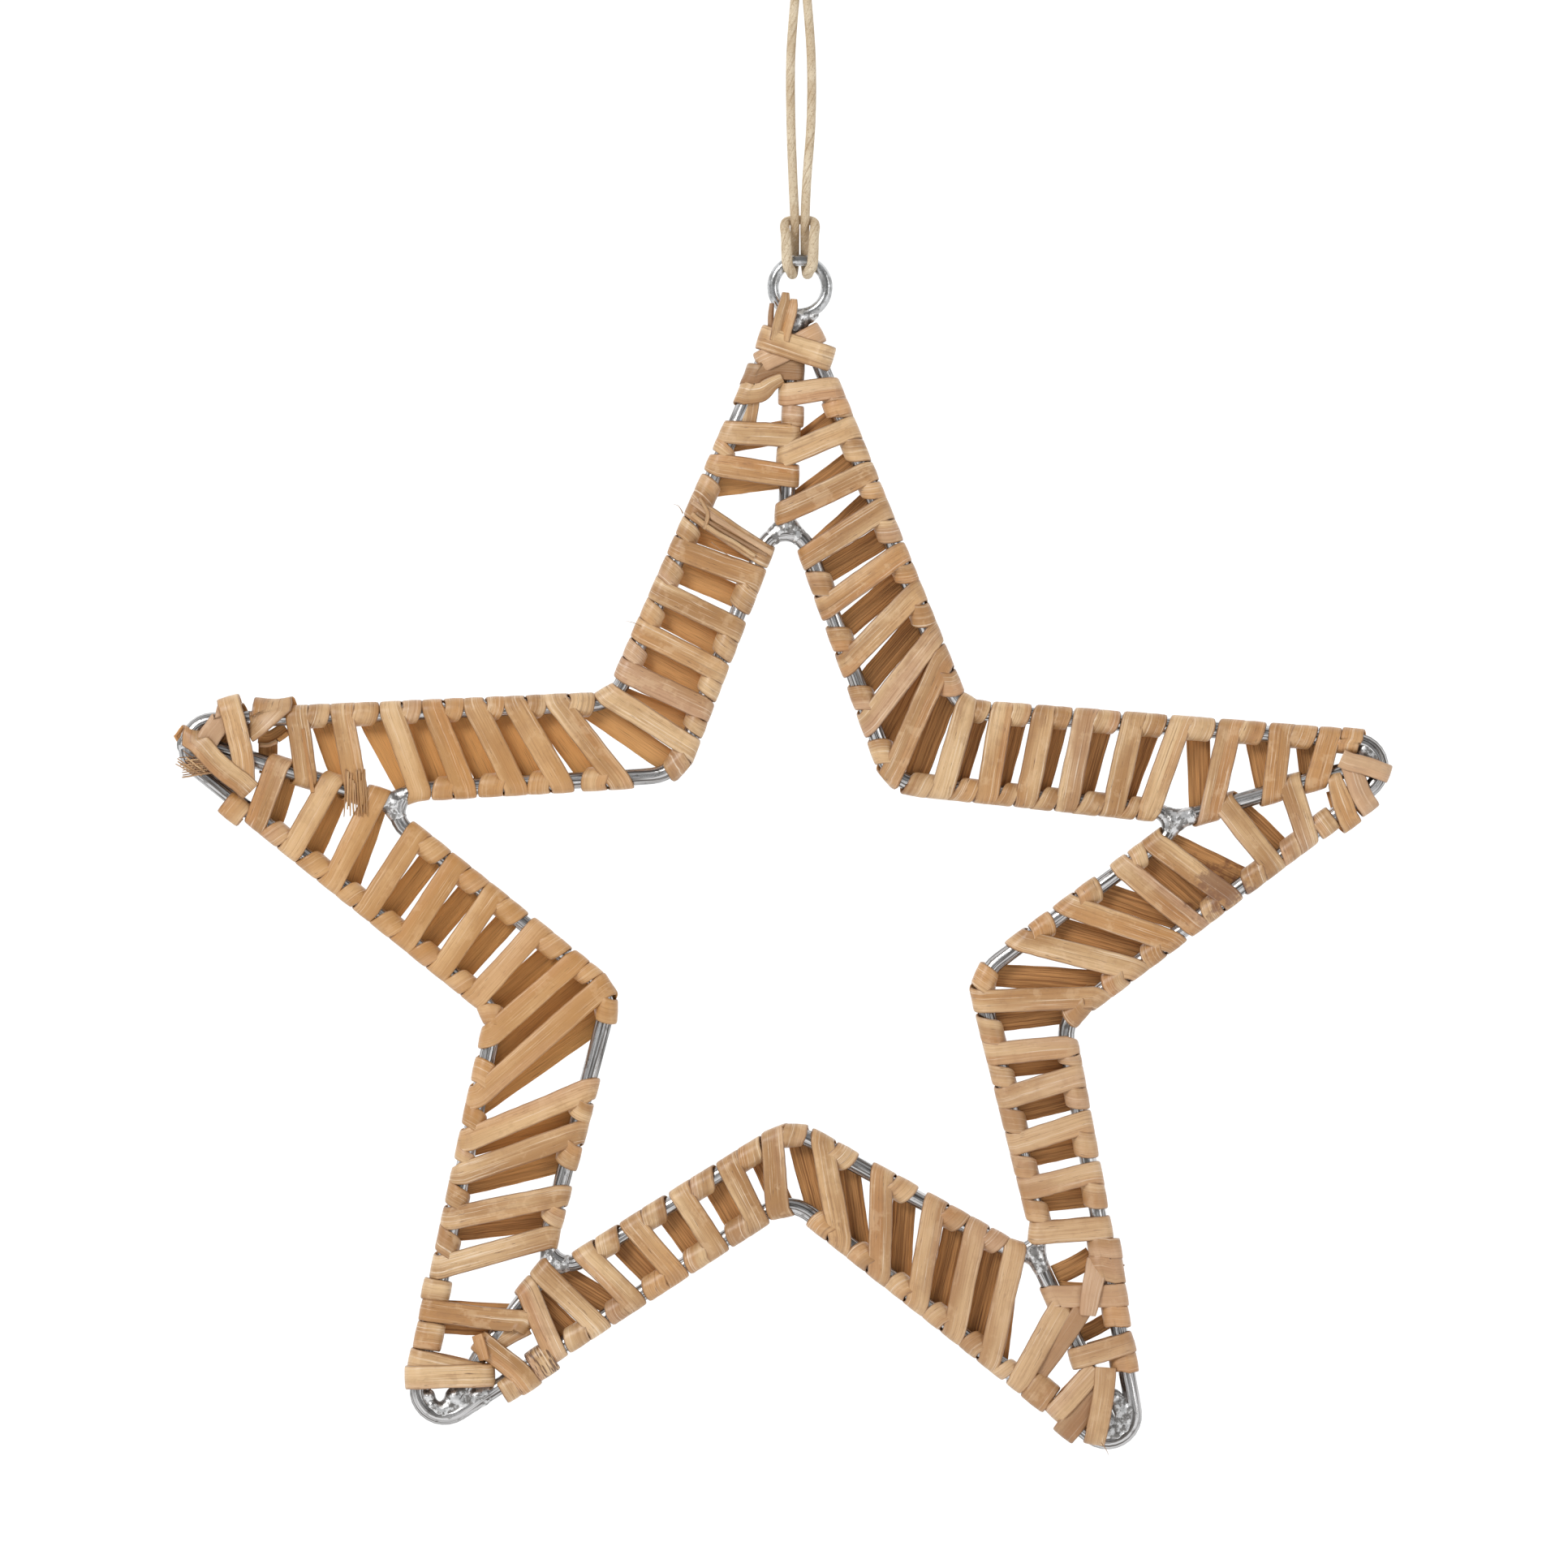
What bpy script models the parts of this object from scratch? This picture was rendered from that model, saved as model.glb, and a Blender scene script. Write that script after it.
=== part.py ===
"""Hanging star: two welded wire stars wound together with flat rattan, hung on a hitched cord.

Metres, +Z up, the front faces -Y, and the origin is where the cord's knot hangs.
"""

import math

import bmesh
import bpy
from mathutils import Vector

# Driving sizes
OUTER_TIP_REACH = 0.1196
OUTER_CORNER_REACH = 0.0526
INNER_TIP_REACH = 0.0802
INNER_CORNER_REACH = 0.0349
TILT = math.radians(0.9)
WIRE_DIAMETER = 0.0030
OUTER_TIP_BEND = 0.0049
INNER_TIP_BENDS = [0.0045, 0.0030, 0.0041, 0.0041, 0.0041]
CORNER_BEND = 0.0070
RING_OUTER_DIAMETER = 0.0119
RING_WIRE_DIAMETER = 0.0021
RING_CENTRE = Vector((-0.0002, 0.0, -0.0598))
RING_ASIDE = 0.0032
RING_BELOW_POINT = 0.0013
WELD_WIDTH = 0.0046
CORD_DIAMETER = 0.00165
CORD_SPREAD = 0.0037
CORD_WIDEST_DROP = 0.0290
HITCH_HEIGHT = 0.0074
STRIP_WIDTH = 0.0037
STRIP_THICKNESS = 0.0006
BACK_SHARE = 0.7
BELT_DROP = 0.0021
KNOT_WIDTH = 0.0052
KNOT_HEIGHT = 0.0060

# Fits
GAP = 0.0003
TURN_GAP = 0.0006
LEAST_TURN_WIDTH = 0.0016
STRIP_REACH = WIRE_DIAMETER / 2 + GAP + STRIP_THICKNESS / 2
STAR_CENTRE = RING_CENTRE + Vector((-RING_ASIDE, 0.0, RING_BELOW_POINT - OUTER_TIP_REACH))

# The hand-bent wires wander from a true star: (reach, degrees) off each point, clockwise from the top
OUTER_TIP_OFFSETS = [(-0.0028, 0.0), (0.0029, 0.7), (-0.0003, 1.3), (-0.0036, -0.5), (0.0036, -0.6)]
OUTER_CORNER_OFFSETS = [(-0.0003, 1.3), (0.0007, -2.2), (-0.0050, -2.3), (0.0011, 2.5), (-0.0002, -0.8)]
INNER_TIP_OFFSETS = [(0.0016, -0.4), (-0.0014, 0.8), (-0.0013, -3.5), (-0.0013, -1.8), (0.0011, -0.2)]
INNER_CORNER_OFFSETS = [(-0.0003, -1.0), (0.0015, -7.3), (0.0004, -3.8), (-0.0020, -1.4), (0.0004, 1.5)]

# How each band is wound, for the half towards the point before its corner and the half after:
# strips between the two wires, then the shares of the straight run at which the first and last
# of them lie on the inner wire, and the first and last of all its strips on the outer wire
BAND_HALVES = [
    [(5, 0.03, 0.94, 0.12, 0.85), (6, 0.18, 0.94, 0.01, 0.87)],
    [(4, 0.24, 0.93, 0.22, 0.86), (6, 0.09, 0.94, -0.07, 0.85)],
    [(5, 0.13, 0.94, 0.16, 0.85), (5, 0.08, 0.94, 0.03, 0.84)],
    [(4, 0.39, 0.94, 0.34, 0.86), (6, 0.03, 0.94, -0.22, 0.79)],
    [(5, 0.21, 0.94, 0.13, 0.80), (6, 0.12, 0.93, 0.00, 0.84)],
]
STRUT_WRAPS = [5, 6, 5, 5, 5]
STRUT_LAST_SHARES = [0.70, 0.75, 0.62, 0.63, 0.60]
STRUT_STARTS_WITH_NEXT_BAND = [True, False, False, False, False]

POINT_NAMES = ["top", "right", "lower_right", "lower_left", "left"]
BAND_NAMES = ["upper_right", "right", "lower", "left", "upper_left"]

WIRE_SIDES = 8
TIP_STEPS = 5
CORNER_STEPS = 3
RING_STEPS = 16
BODY_SIDES = 10

DEPTH = Vector((0.0, 1.0, 0.0))


def clear_scene():
    for item in list(bpy.data.objects):
        bpy.data.objects.remove(item, do_unlink=True)


def material(name, colour, roughness, metallic):
    made = bpy.data.materials.new(name)
    made.use_nodes = True
    shader = made.node_tree.nodes["Principled BSDF"]
    shader.inputs["Base Color"].default_value = (*colour, 1.0)
    shader.inputs["Roughness"].default_value = roughness
    shader.inputs["Metallic"].default_value = metallic
    return made


def solid(name, points, faces, finish):
    mesh = bpy.data.meshes.new(name)
    mesh.from_pydata([tuple(p) for p in points], [], faces)
    shell = bmesh.new()
    shell.from_mesh(mesh)
    bmesh.ops.recalc_face_normals(shell, faces=shell.faces)
    shell.to_mesh(mesh)
    shell.free()
    mesh.materials.append(finish)
    made = bpy.data.objects.new(name, mesh)
    bpy.context.scene.collection.objects.link(made)
    return made


def polar(reach, degrees):
    """A point of the star's plane, its angle clockwise from straight up."""
    turn = math.radians(degrees) + TILT
    return STAR_CENTRE + Vector((math.sin(turn), 0.0, math.cos(turn))) * reach


def star_points(reach, offsets, first_degrees):
    step = 360.0 / len(offsets)
    return [
        polar(reach + more, first_degrees + step * at + degrees)
        for at, (more, degrees) in enumerate(offsets)
    ]


def arc_at(before, corner, after, bend, steps):
    """The bend of a wire at a corner, as points from one tangent point to the other."""
    back = (before - corner).normalized()
    on = (after - corner).normalized()
    half = back.angle(on) / 2
    reach = bend / math.tan(half)
    centre = corner + (back + on).normalized() * (bend / math.sin(half))
    start = corner + back * reach - centre
    end = corner + on * reach - centre
    sweep = start.angle(end)
    axis = start.cross(end).normalized()
    side = axis.cross(start)
    return [
        centre + start * math.cos(sweep * i / steps) + side * math.sin(sweep * i / steps)
        for i in range(steps + 1)
    ]


def ring_of(centre, across, up, radius, sides):
    return [
        centre
        + across * (radius * math.cos(2 * math.pi * (i + 0.5) / sides))
        + up * (radius * math.sin(2 * math.pi * (i + 0.5) / sides))
        for i in range(sides)
    ]


def skin(rings, closed):
    """Faces that join each ring of points to the next, with end caps on an open run."""
    sides = len(rings[0])
    count = len(rings)
    faces = []
    for i in range(count if closed else count - 1):
        here = i * sides
        there = (i + 1) % count * sides
        for j in range(sides):
            k = (j + 1) % sides
            faces.append((here + j, here + k, there + k, there + j))
    if not closed:
        faces.append(tuple(reversed(range(sides))))
        faces.append(tuple(range((count - 1) * sides, count * sides)))
    return [p for ring in rings for p in ring], faces


def wire_loop(name, path, diameter, finish):
    """A closed wire in the star's plane, mitred at each point of its path."""
    rings = []
    for i, here in enumerate(path):
        before = (here - path[i - 1]).normalized()
        after = (path[(i + 1) % len(path)] - here).normalized()
        along = (before + after).normalized()
        across = along.cross(DEPTH) / before.dot(along)
        rings.append(ring_of(here, across, DEPTH, diameter / 2, WIRE_SIDES))
    return solid(name, *skin(rings, True), finish)


def straight_wire(name, start, end, diameter, finish):
    across = (end - start).normalized().cross(DEPTH)
    rings = [ring_of(p, across, DEPTH, diameter / 2, WIRE_SIDES) for p in (start, end)]
    return solid(name, *skin(rings, False), finish)


class Rail:
    """A run of wire that strips are wound on, read by the distance along it from its zero.

    Strips cross a square rail at right angles; on others they keep their slant."""

    def __init__(self, path, zero=0.0, square=False, bend=0.0):
        self.path = path
        self.zero = zero
        self.square = square
        self.bend = bend
        self.starts = [0.0]
        for a, b in zip(path, path[1:]):
            self.starts.append(self.starts[-1] + (b - a).length)
        self.length = self.starts[-1]

    def at(self, place):
        """The point and the direction of the wire at a place."""
        run = place + self.zero
        i = max([i for i, start in enumerate(self.starts[:-1]) if start <= run], default=0)
        a, b = self.path[i], self.path[i + 1]
        along = (b - a).normalized()
        return a + along * (run - self.starts[i]), along


def edge_ring(rail, place, depth, width, other, away):
    """The four points of a strip where it turns over one of the two edges of a wire.

    depth is the strip's level, below nought on the front, other a point on the side of the wire
    where the other wire lies, and away says whether the edge turned is the one away from it."""
    before, after = rail.at(place - width / 2)[0], rail.at(place + width / 2)[0]
    point, along = (before + after) / 2, (after - before).normalized()
    out = along.cross(DEPTH).normalized()
    if out.dot(other - point) > 0:
        out = -out
    turned = out if away else -out
    reach = STRIP_REACH + (STRIP_THICKNESS if rail.square and not away else 0.0)
    middle = point + turned * reach + DEPTH * depth
    half = along * (width / 2)
    shell = (turned + DEPTH * math.copysign(1.0, depth)) * (STRIP_THICKNESS / 2)
    start, end = middle - half, middle + half
    return [start - shell, end - shell, end + shell, start + shell]


def band_edge(rail, place, other):
    """The point just off a square rail where a strip turns towards the other wire."""
    point, along = rail.at(place)
    out = along.cross(DEPTH).normalized()
    return point + out * math.copysign(STRIP_REACH + STRIP_THICKNESS, out.dot(other - point))


def lean(rail, place, over):
    """How far along the wire a strip has moved on by the edge it leaves the wire at."""
    along = rail.at(place)[1]
    out = along.cross(DEPTH).normalized()
    return 0.0 if rail.square else STRIP_REACH * over.dot(along) / abs(over.dot(out))


def extra_turn(this, beside):
    """The width of an extra turn between a strip's end and its neighbour's on the same wire, and
    the step from the strip to it. Each end is (rail, place, lean)."""
    rail, place, leaning = this
    other_rail, other_place, other_leaning = beside
    room = abs(other_place - place) - abs(other_leaning - leaning) - STRIP_WIDTH - 2 * TURN_GAP
    crowded = abs(place) < rail.bend or abs(leaning) > STRIP_REACH * 0.8
    if other_rail is not rail or rail.square or room < LEAST_TURN_WIDTH or crowded:
        return 0.0, 0.0
    turn = min(STRIP_WIDTH, room)
    return turn, (STRIP_WIDTH + turn) / 2 + TURN_GAP


def winding(name, strips, finish):
    """One strip wound round two rails. Each entry is (near rail, near place, far rail, far
    place): the strip crosses the front from near to far, and the back to the next."""
    rings = []
    nears, fars = [], []
    for near, near_at, far, far_at in strips:
        far_point, near_point = far.at(far_at)[0], near.at(near_at)[0]
        if near.square:
            near_point = band_edge(near, near_at, far_point)
        over = (far_point - near_point).normalized()
        nears.append((near, near_at, -lean(near, near_at, over)))
        fars.append((far, far_at, lean(far, far_at, over)))
    layer = STRIP_THICKNESS + GAP
    back, deep_back = STRIP_REACH, STRIP_REACH + layer

    for k, ((near, near_at, near_lean), (far, far_at, far_lean)) in enumerate(zip(nears, fars)):
        far_point, near_point = far.at(far_at)[0], near.at(near_at)[0]

        def at_near(place, depth, width, *edges):
            for away in edges:
                shift = near_lean if away else -near_lean
                rings.append(edge_ring(near, place + shift, depth, width, far_point, away))

        def at_far(place, depth, width, *edges):
            for away in edges:
                shift = far_lean if away else -far_lean
                rings.append(edge_ring(far, place + shift, depth, width, near_point, away))

        if k == 0:
            at_near(near_at, back, STRIP_WIDTH, False, True)
        else:
            turn, step = extra_turn(nears[k], nears[k - 1])
            if near.square:
                at_near(near_at, deep_back, STRIP_WIDTH, False)
            belt = layer if k == len(strips) - 1 else 0.0
            at_near(near_at - step, deep_back + belt, turn or STRIP_WIDTH, True)
            if turn:
                at_near(near_at - step, -STRIP_REACH, turn, True, False)
                at_near(near_at - step, back, turn * BACK_SHARE, False)
                at_near(near_at, back, turn * BACK_SHARE, True)
        at_near(near_at, -STRIP_REACH, STRIP_WIDTH, True)
        if near.square:
            at_near(near_at, -STRIP_REACH, STRIP_WIDTH, False)
        at_far(far_at, -STRIP_REACH, STRIP_WIDTH, True)
        if k == len(strips) - 1:
            at_far(far_at, back, STRIP_WIDTH, True, False)
        else:
            turn, step = extra_turn(fars[k], fars[k + 1])
            belt = layer if k == len(strips) - 2 else 0.0
            if turn:
                at_far(far_at, back, turn * BACK_SHARE, True)
                at_far(far_at + step, back, turn * BACK_SHARE, False)
                at_far(far_at + step, -STRIP_REACH, turn, False, True)
            at_far(far_at + step, deep_back + belt, turn or STRIP_WIDTH, True)
    points, faces = skin(rings, False)
    return solid(name, points, faces, finish)


def spread(first, last, count):
    return [first + (last - first) * i / (count - 1) for i in range(count)]


def tube_curve(name, path, diameter, finish):
    data = bpy.data.curves.new(name, "CURVE")
    data.dimensions = "3D"
    data.bevel_depth = diameter / 2
    data.bevel_resolution = 2
    data.use_fill_caps = True
    spline = data.splines.new("POLY")
    spline.points.add(len(path) - 1)
    for point, place in zip(spline.points, path):
        point.co = (*place, 1.0)
    data.materials.append(finish)
    made = bpy.data.objects.new(name, data)
    bpy.context.scene.collection.objects.link(made)
    return made


def smooth_route(points, steps):
    """Points of a smooth curve through the route's own points, so many to each stretch."""
    route = []
    for i in range(len(points) - 1):
        before = points[max(i - 1, 0)]
        a, b = points[i], points[i + 1]
        after = points[min(i + 2, len(points) - 1)]
        for step in range(steps):
            t = step / steps
            bend = 2 * before - 5 * a + 4 * b - after
            twist = 3 * a - before - 3 * b + after
            route.append((2 * a + (b - before) * t + bend * t * t + twist * t * t * t) / 2)
    return route + [points[-1]]


def round_body(name, centre, across, up, radii, heights, finish):
    """A body of round cross-sections stacked along a direction, capped at both ends."""
    axis = across.cross(up)
    rings = [ring_of(centre + axis * h, across, up, r, BODY_SIDES) for r, h in zip(radii, heights)]
    return solid(name, *skin(rings, False), finish)


def build_ring(steel, tip_top):
    """The small hanging ring, with the lump of weld that stands it on the tip of the outer wire."""
    centreline = (RING_OUTER_DIAMETER - RING_WIRE_DIAMETER) / 2
    path = [
        RING_CENTRE + Vector((math.sin(turn), 0.0, math.cos(turn))) * centreline
        for turn in (2 * math.pi * i / RING_STEPS for i in range(RING_STEPS))
    ]
    ring = wire_loop("hanging_ring", path, RING_WIRE_DIAMETER, steel)
    foot_top = RING_CENTRE.z - centreline + RING_WIRE_DIAMETER * 0.3
    foot_end = tip_top.z + WIRE_DIAMETER / 2 + GAP
    middle = Vector((RING_CENTRE.x, 0.0, foot_end))
    height = foot_top - foot_end
    levels = [0.0, height * 0.4, height]
    radii = [WELD_WIDTH / 2 * share for share in (0.86, 1.0, 0.62)]
    foot = round_body("weld_foot_tool", middle, Vector((1.0, 0.0, 0.0)), DEPTH, radii, levels, steel)
    foot.hide_render = True
    foot.display_type = "WIRE"
    join = ring.modifiers.new("weld", "BOOLEAN")
    join.operation = "UNION"
    join.solver = "EXACT"
    join.object = foot
    return centreline


def build_cord(fibre, ring_radius):
    """A doubled cord hitched on the ring: its bight lies behind both strands, which go behind the
    ring, under it and up in front, back over themselves to the bight."""
    lay = (RING_WIRE_DIAMETER + CORD_DIAMETER) / 2 + GAP
    beside = CORD_DIAMETER * 0.57
    bar = Vector((RING_CENTRE.x, CORD_DIAMETER * 0.85, RING_CENTRE.z + ring_radius + HITCH_HEIGHT))

    def around(turn, degrees, hand):
        """A point beside the ring's wire, by the turns round the ring from its top and round the wire."""
        level = math.radians(degrees)
        reach = ring_radius + lay * math.cos(level)
        aside = math.radians(turn) * hand
        off = Vector((math.sin(aside) * reach, lay * math.sin(level), math.cos(aside) * reach))
        return RING_CENTRE + off

    def strand(hand):
        """The route of one half, from the knot down, round the ring and up to the bight."""

        def off(across, depth, above):
            return bar + Vector((hand * across, depth - bar.y, above))

        knot_end = Vector((hand * beside * 1.1, 0.0, -KNOT_HEIGHT - GAP))
        widest = Vector((hand * CORD_SPREAD / 2, 0.0, -CORD_WIDEST_DROP))
        wide_leg = beside + CORD_DIAMETER * 1.1
        down = [knot_end, (knot_end + widest) / 2 + Vector((hand * CORD_DIAMETER / 4, 0.0, 0.0)), widest]
        down.append(off(beside * 1.35, 0.0, HITCH_HEIGHT))
        down.append(off(beside, -CORD_DIAMETER * 0.35, 0.0))
        down.append(off(beside, lay * 0.6, -HITCH_HEIGHT * 0.55))
        for turn, degrees in ((12, 90), (21, 135), (30, 180), (30, 225), (28, 270)):
            down.append(around(turn, degrees, hand))
        down.append(off(wide_leg * 0.92, -lay, -HITCH_HEIGHT * 0.45))
        down.append(off(wide_leg, -lay * 0.45, -HITCH_HEIGHT * 0.17))
        down.append(off(wide_leg * 0.86, bar.y * 0.55, -CORD_DIAMETER * 0.2))
        return down + [off(beside, bar.y, 0.0)]

    points = strand(-1) + [bar] + strand(1)[::-1]
    return tube_curve("hanging_cord", smooth_route(points, 2), CORD_DIAMETER, fibre)


def build_knot(fibre):
    """The knot that ties the two ends of the cord, its top at the hanging point."""
    shares = [0.42, 0.86, 1.0, 0.88, 0.95, 0.80, 0.40]
    levels = [KNOT_HEIGHT * share for share in (0.0, 0.12, 0.32, 0.50, 0.68, 0.88, 1.0)]
    radii = [KNOT_WIDTH / 2 * share for share in shares]
    return round_body("cord_knot", Vector(), Vector((1.0, 0.0, 0.0)), -DEPTH, radii, levels, fibre)


def build_frame(steel):
    outer_tips = star_points(OUTER_TIP_REACH, OUTER_TIP_OFFSETS, 0.0)
    outer_corners = star_points(OUTER_CORNER_REACH, OUTER_CORNER_OFFSETS, 36.0)
    inner_tips = star_points(INNER_TIP_REACH, INNER_TIP_OFFSETS, 0.0)
    inner_corners = star_points(INNER_CORNER_REACH, INNER_CORNER_OFFSETS, 36.0)

    def wire(tips, corners, tip_bends):
        path = []
        bends = []
        for i, tip in enumerate(tips):
            bend = arc_at(corners[i - 1], tip, corners[i], tip_bends[i], TIP_STEPS)
            turn = arc_at(tip, corners[i], tips[(i + 1) % len(tips)], CORNER_BEND, CORNER_STEPS)
            path += bend + turn
            bends.append((bend, turn))
        return path, bends

    outer_path, outer_bends = wire(outer_tips, outer_corners, [OUTER_TIP_BEND] * len(outer_tips))
    inner_path, inner_bends = wire(inner_tips, inner_corners, INNER_TIP_BENDS)
    wire_loop("outer_star_wire", outer_path, WIRE_DIAMETER, steel)
    wire_loop("inner_star_wire", inner_path, WIRE_DIAMETER, steel)
    struts = []
    for i, name in enumerate(POINT_NAMES):
        crotch = bend_top(inner_tips[i], inner_bends[i][0])
        tip = bend_top(outer_tips[i], outer_bends[i][0])
        along = (tip - crotch).normalized()
        clear = WIRE_DIAMETER / 2 + GAP
        base, end = crotch + along * clear, tip - along * (clear + WIRE_DIAMETER * 0.4)
        straight_wire("strut_" + name, base, end, WIRE_DIAMETER, steel)
        struts.append(Rail([crotch, tip], square=True))
    return bend_top(outer_tips[0], outer_bends[0][0]), outer_bends, inner_bends, struts


def bend_top(corner, bend):
    """The point of a bend that lies nearest the corner it rounds off."""
    middle = (bend[0] + bend[-1]) / 2
    towards = (corner - middle).normalized()
    half = (bend[0] - bend[-1]).length / 2
    radius = (bend[1] - bend[0]).length / (2 * math.sin(turning(bend) / 2))
    inner = math.sqrt(max(radius * radius - half * half, 0.0))
    return middle + towards * (radius - inner)


def turning(bend):
    """The angle between two neighbouring points of a bend, seen from its centre."""
    first = bend[1] - bend[0]
    second = bend[2] - bend[1]
    return first.angle(second)


def band_rail(bends, band):
    """The wire from the tip bend of one point, round a corner, to the bend of the next point."""
    bend, turn = bends[band]
    next_bend = bends[(band + 1) % len(bends)][0]
    half_turn = sum((b - a).length for a, b in zip(turn, turn[1:])) / 2
    zero = (turn[0] - bend[-1]).length + half_turn
    return Rail([bend[-1]] + turn + [next_bend[0]], zero, bend=half_turn + STRIP_WIDTH * 1.4)


def build_windings(outer_bends, inner_bends, struts, finish):
    count = len(POINT_NAMES)
    for band, name in enumerate(BAND_NAMES):
        following = (band + 1) % count
        outer = band_rail(outer_bends, band)
        inner = band_rail(inner_bends, band)
        inward = Rail(struts[band].path[::-1], square=True)
        outward = struts[following]
        before, after = BAND_HALVES[band]
        wound = []
        places = half_places(before, inner.zero, outer.zero, strut_places(band, inward, True))
        for on_strut, near, far in reversed(places):
            rail = inward if on_strut else inner
            wound.append((rail, inward.length - near if on_strut else -near, outer, -far))
        inner_run, outer_run = inner.length - inner.zero, outer.length - outer.zero
        wraps = strut_places(following, outward, False)
        for on_strut, near, far in half_places(after, inner_run, outer_run, wraps):
            wound.append((outward if on_strut else inner, near, outer, far))
        next_bend, next_turn = outer_bends[following]
        other_leg = Rail([next_turn[0], next_bend[-1]])
        wound.append((other_leg, other_leg.length - BELT_DROP, outer, outer_run - BELT_DROP))
        winding("rattan_" + name, wound, finish)


def half_places(half, inner_run, outer_run, wraps):
    """Where the strips of half a band lie, from the corner to the point: whether the inner end is
    on the strut, its place, and the place of the outer end."""
    strips, inner_first, inner_last, outer_first, outer_last = half
    nears = [(False, share * inner_run) for share in spread(inner_first, inner_last, strips)]
    nears += [(True, place) for place in wraps]
    fars = spread(outer_first, outer_last, len(nears))
    return [(on_strut, near, share * outer_run) for (on_strut, near), share in zip(nears, fars)]


def strut_places(point, strut, next_band):
    """Where the wraps of one of the two bands that share a strut lie along it."""
    first = WIRE_DIAMETER / 2 + GAP + STRIP_WIDTH * 0.9
    places = spread(first, strut.length * STRUT_LAST_SHARES[point], STRUT_WRAPS[point])
    return places[0::2] if STRUT_STARTS_WITH_NEXT_BAND[point] == next_band else places[1::2]


def main():
    clear_scene()
    steel = material("galvanised_steel", (0.55, 0.55, 0.56), 0.32, 1.0)
    rattan = material("rattan", (0.58, 0.39, 0.20), 0.55, 0.0)
    fibre = material("waxed_cord", (0.80, 0.72, 0.58), 0.60, 0.0)
    tip_top, outer_bends, inner_bends, struts = build_frame(steel)
    build_windings(outer_bends, inner_bends, struts, rattan)
    ring_radius = build_ring(steel, tip_top)
    build_cord(fibre, ring_radius)
    build_knot(fibre)


main()
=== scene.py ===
"""Looks of the hanging star: welded wire wound with flat rattan, on a hitched cord.

Metres, +Z up, the front faces -Y, and the origin is where the cord's knot hangs.
"""

import math
import random

import bpy
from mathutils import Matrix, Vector


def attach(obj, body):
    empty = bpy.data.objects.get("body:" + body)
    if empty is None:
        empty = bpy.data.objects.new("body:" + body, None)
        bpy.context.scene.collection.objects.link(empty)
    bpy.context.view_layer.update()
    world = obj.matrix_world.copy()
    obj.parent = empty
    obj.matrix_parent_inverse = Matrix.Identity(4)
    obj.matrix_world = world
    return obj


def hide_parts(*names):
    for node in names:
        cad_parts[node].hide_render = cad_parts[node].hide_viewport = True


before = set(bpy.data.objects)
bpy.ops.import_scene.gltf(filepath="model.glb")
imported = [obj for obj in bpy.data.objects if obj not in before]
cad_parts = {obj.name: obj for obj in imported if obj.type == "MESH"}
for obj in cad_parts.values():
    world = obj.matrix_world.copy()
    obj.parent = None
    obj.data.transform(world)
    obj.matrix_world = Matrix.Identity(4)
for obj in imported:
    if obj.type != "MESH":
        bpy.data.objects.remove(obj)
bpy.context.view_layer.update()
bpy.ops.object.select_all(action="DESELECT")

MM = 0.001
DEPTH = Vector((0.0, 1.0, 0.0))
FRONT = -DEPTH

# The wires, as in the frame
RING_CENTRE = Vector((-0.0002, 0.0, -0.0598))
OUTER_TIP_REACH = 0.1196
STAR_CENTRE = RING_CENTRE + Vector((-0.0032, 0.0, 0.0013 - OUTER_TIP_REACH))
OUTER_CORNER_REACH = 0.0526
INNER_TIP_REACH = 0.0802
INNER_CORNER_REACH = 0.0349
TILT = math.radians(0.9)
WIRE_DIAMETER = 0.0030
WIRE_SPACING = 0.0011
COARSE_SPACING = 0.002
OUTER_TIP_BEND = 0.0049
INNER_TIP_BENDS = [0.0045, 0.0030, 0.0041, 0.0041, 0.0041]
CORNER_BEND = 0.0070
RING_OUTER_DIAMETER = 0.0119
RING_WIRE_DIAMETER = 0.0021
OUTER_TIP_OFFSETS = [(-0.0028, 0.0), (0.0029, 0.7), (-0.0003, 1.3), (-0.0036, -0.5), (0.0036, -0.6)]
OUTER_CORNER_OFFSETS = [(-0.0003, 1.3), (0.0007, -2.2), (-0.0050, -2.3), (0.0011, 2.5), (-0.0002, -0.8)]
INNER_TIP_OFFSETS = [(0.0016, -0.4), (-0.0014, 0.8), (-0.0013, -3.5), (-0.0013, -1.8), (0.0011, -0.2)]
INNER_CORNER_OFFSETS = [(-0.0003, -1.0), (0.0015, -7.3), (0.0004, -3.8), (-0.0020, -1.4), (0.0004, 1.5)]
POINT_NAMES = ["top", "right", "lower_right", "lower_left", "left"]
BAND_NAMES = ["upper_right", "right", "lower", "left", "upper_left"]

# The struts end a little inside the two stars' wires. One is bent on its way to the point
STRUT_INSET = 0.0006
BENT_STRUT = "lower_left"
STRUT_END_SHIFT = Vector((0.0050, 0.0, 0.0012))
STRUT_BEND_SHIFT = Vector((0.0006, 0.0, 0.0))

# The finest detail of the welds
WELD_VOXEL = 0.00022
RING_WELD_VOXEL = 0.00017

# The cord, as in the frame
CORD_DIAMETER = 0.00165
CORD_SPREAD = 0.0037
CORD_WIDEST_DROP = 0.0290
HITCH_HEIGHT = 0.0074
KNOT_HEIGHT = 0.0060
GAP = 0.0003

# The fuller loops of its hitch: by how much, and where they lie as shares of the cord's length, from
# its middle
HITCH_SWELL = 0.22
HITCH_SHARE = 0.085
HITCH_REACH = 0.075

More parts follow.
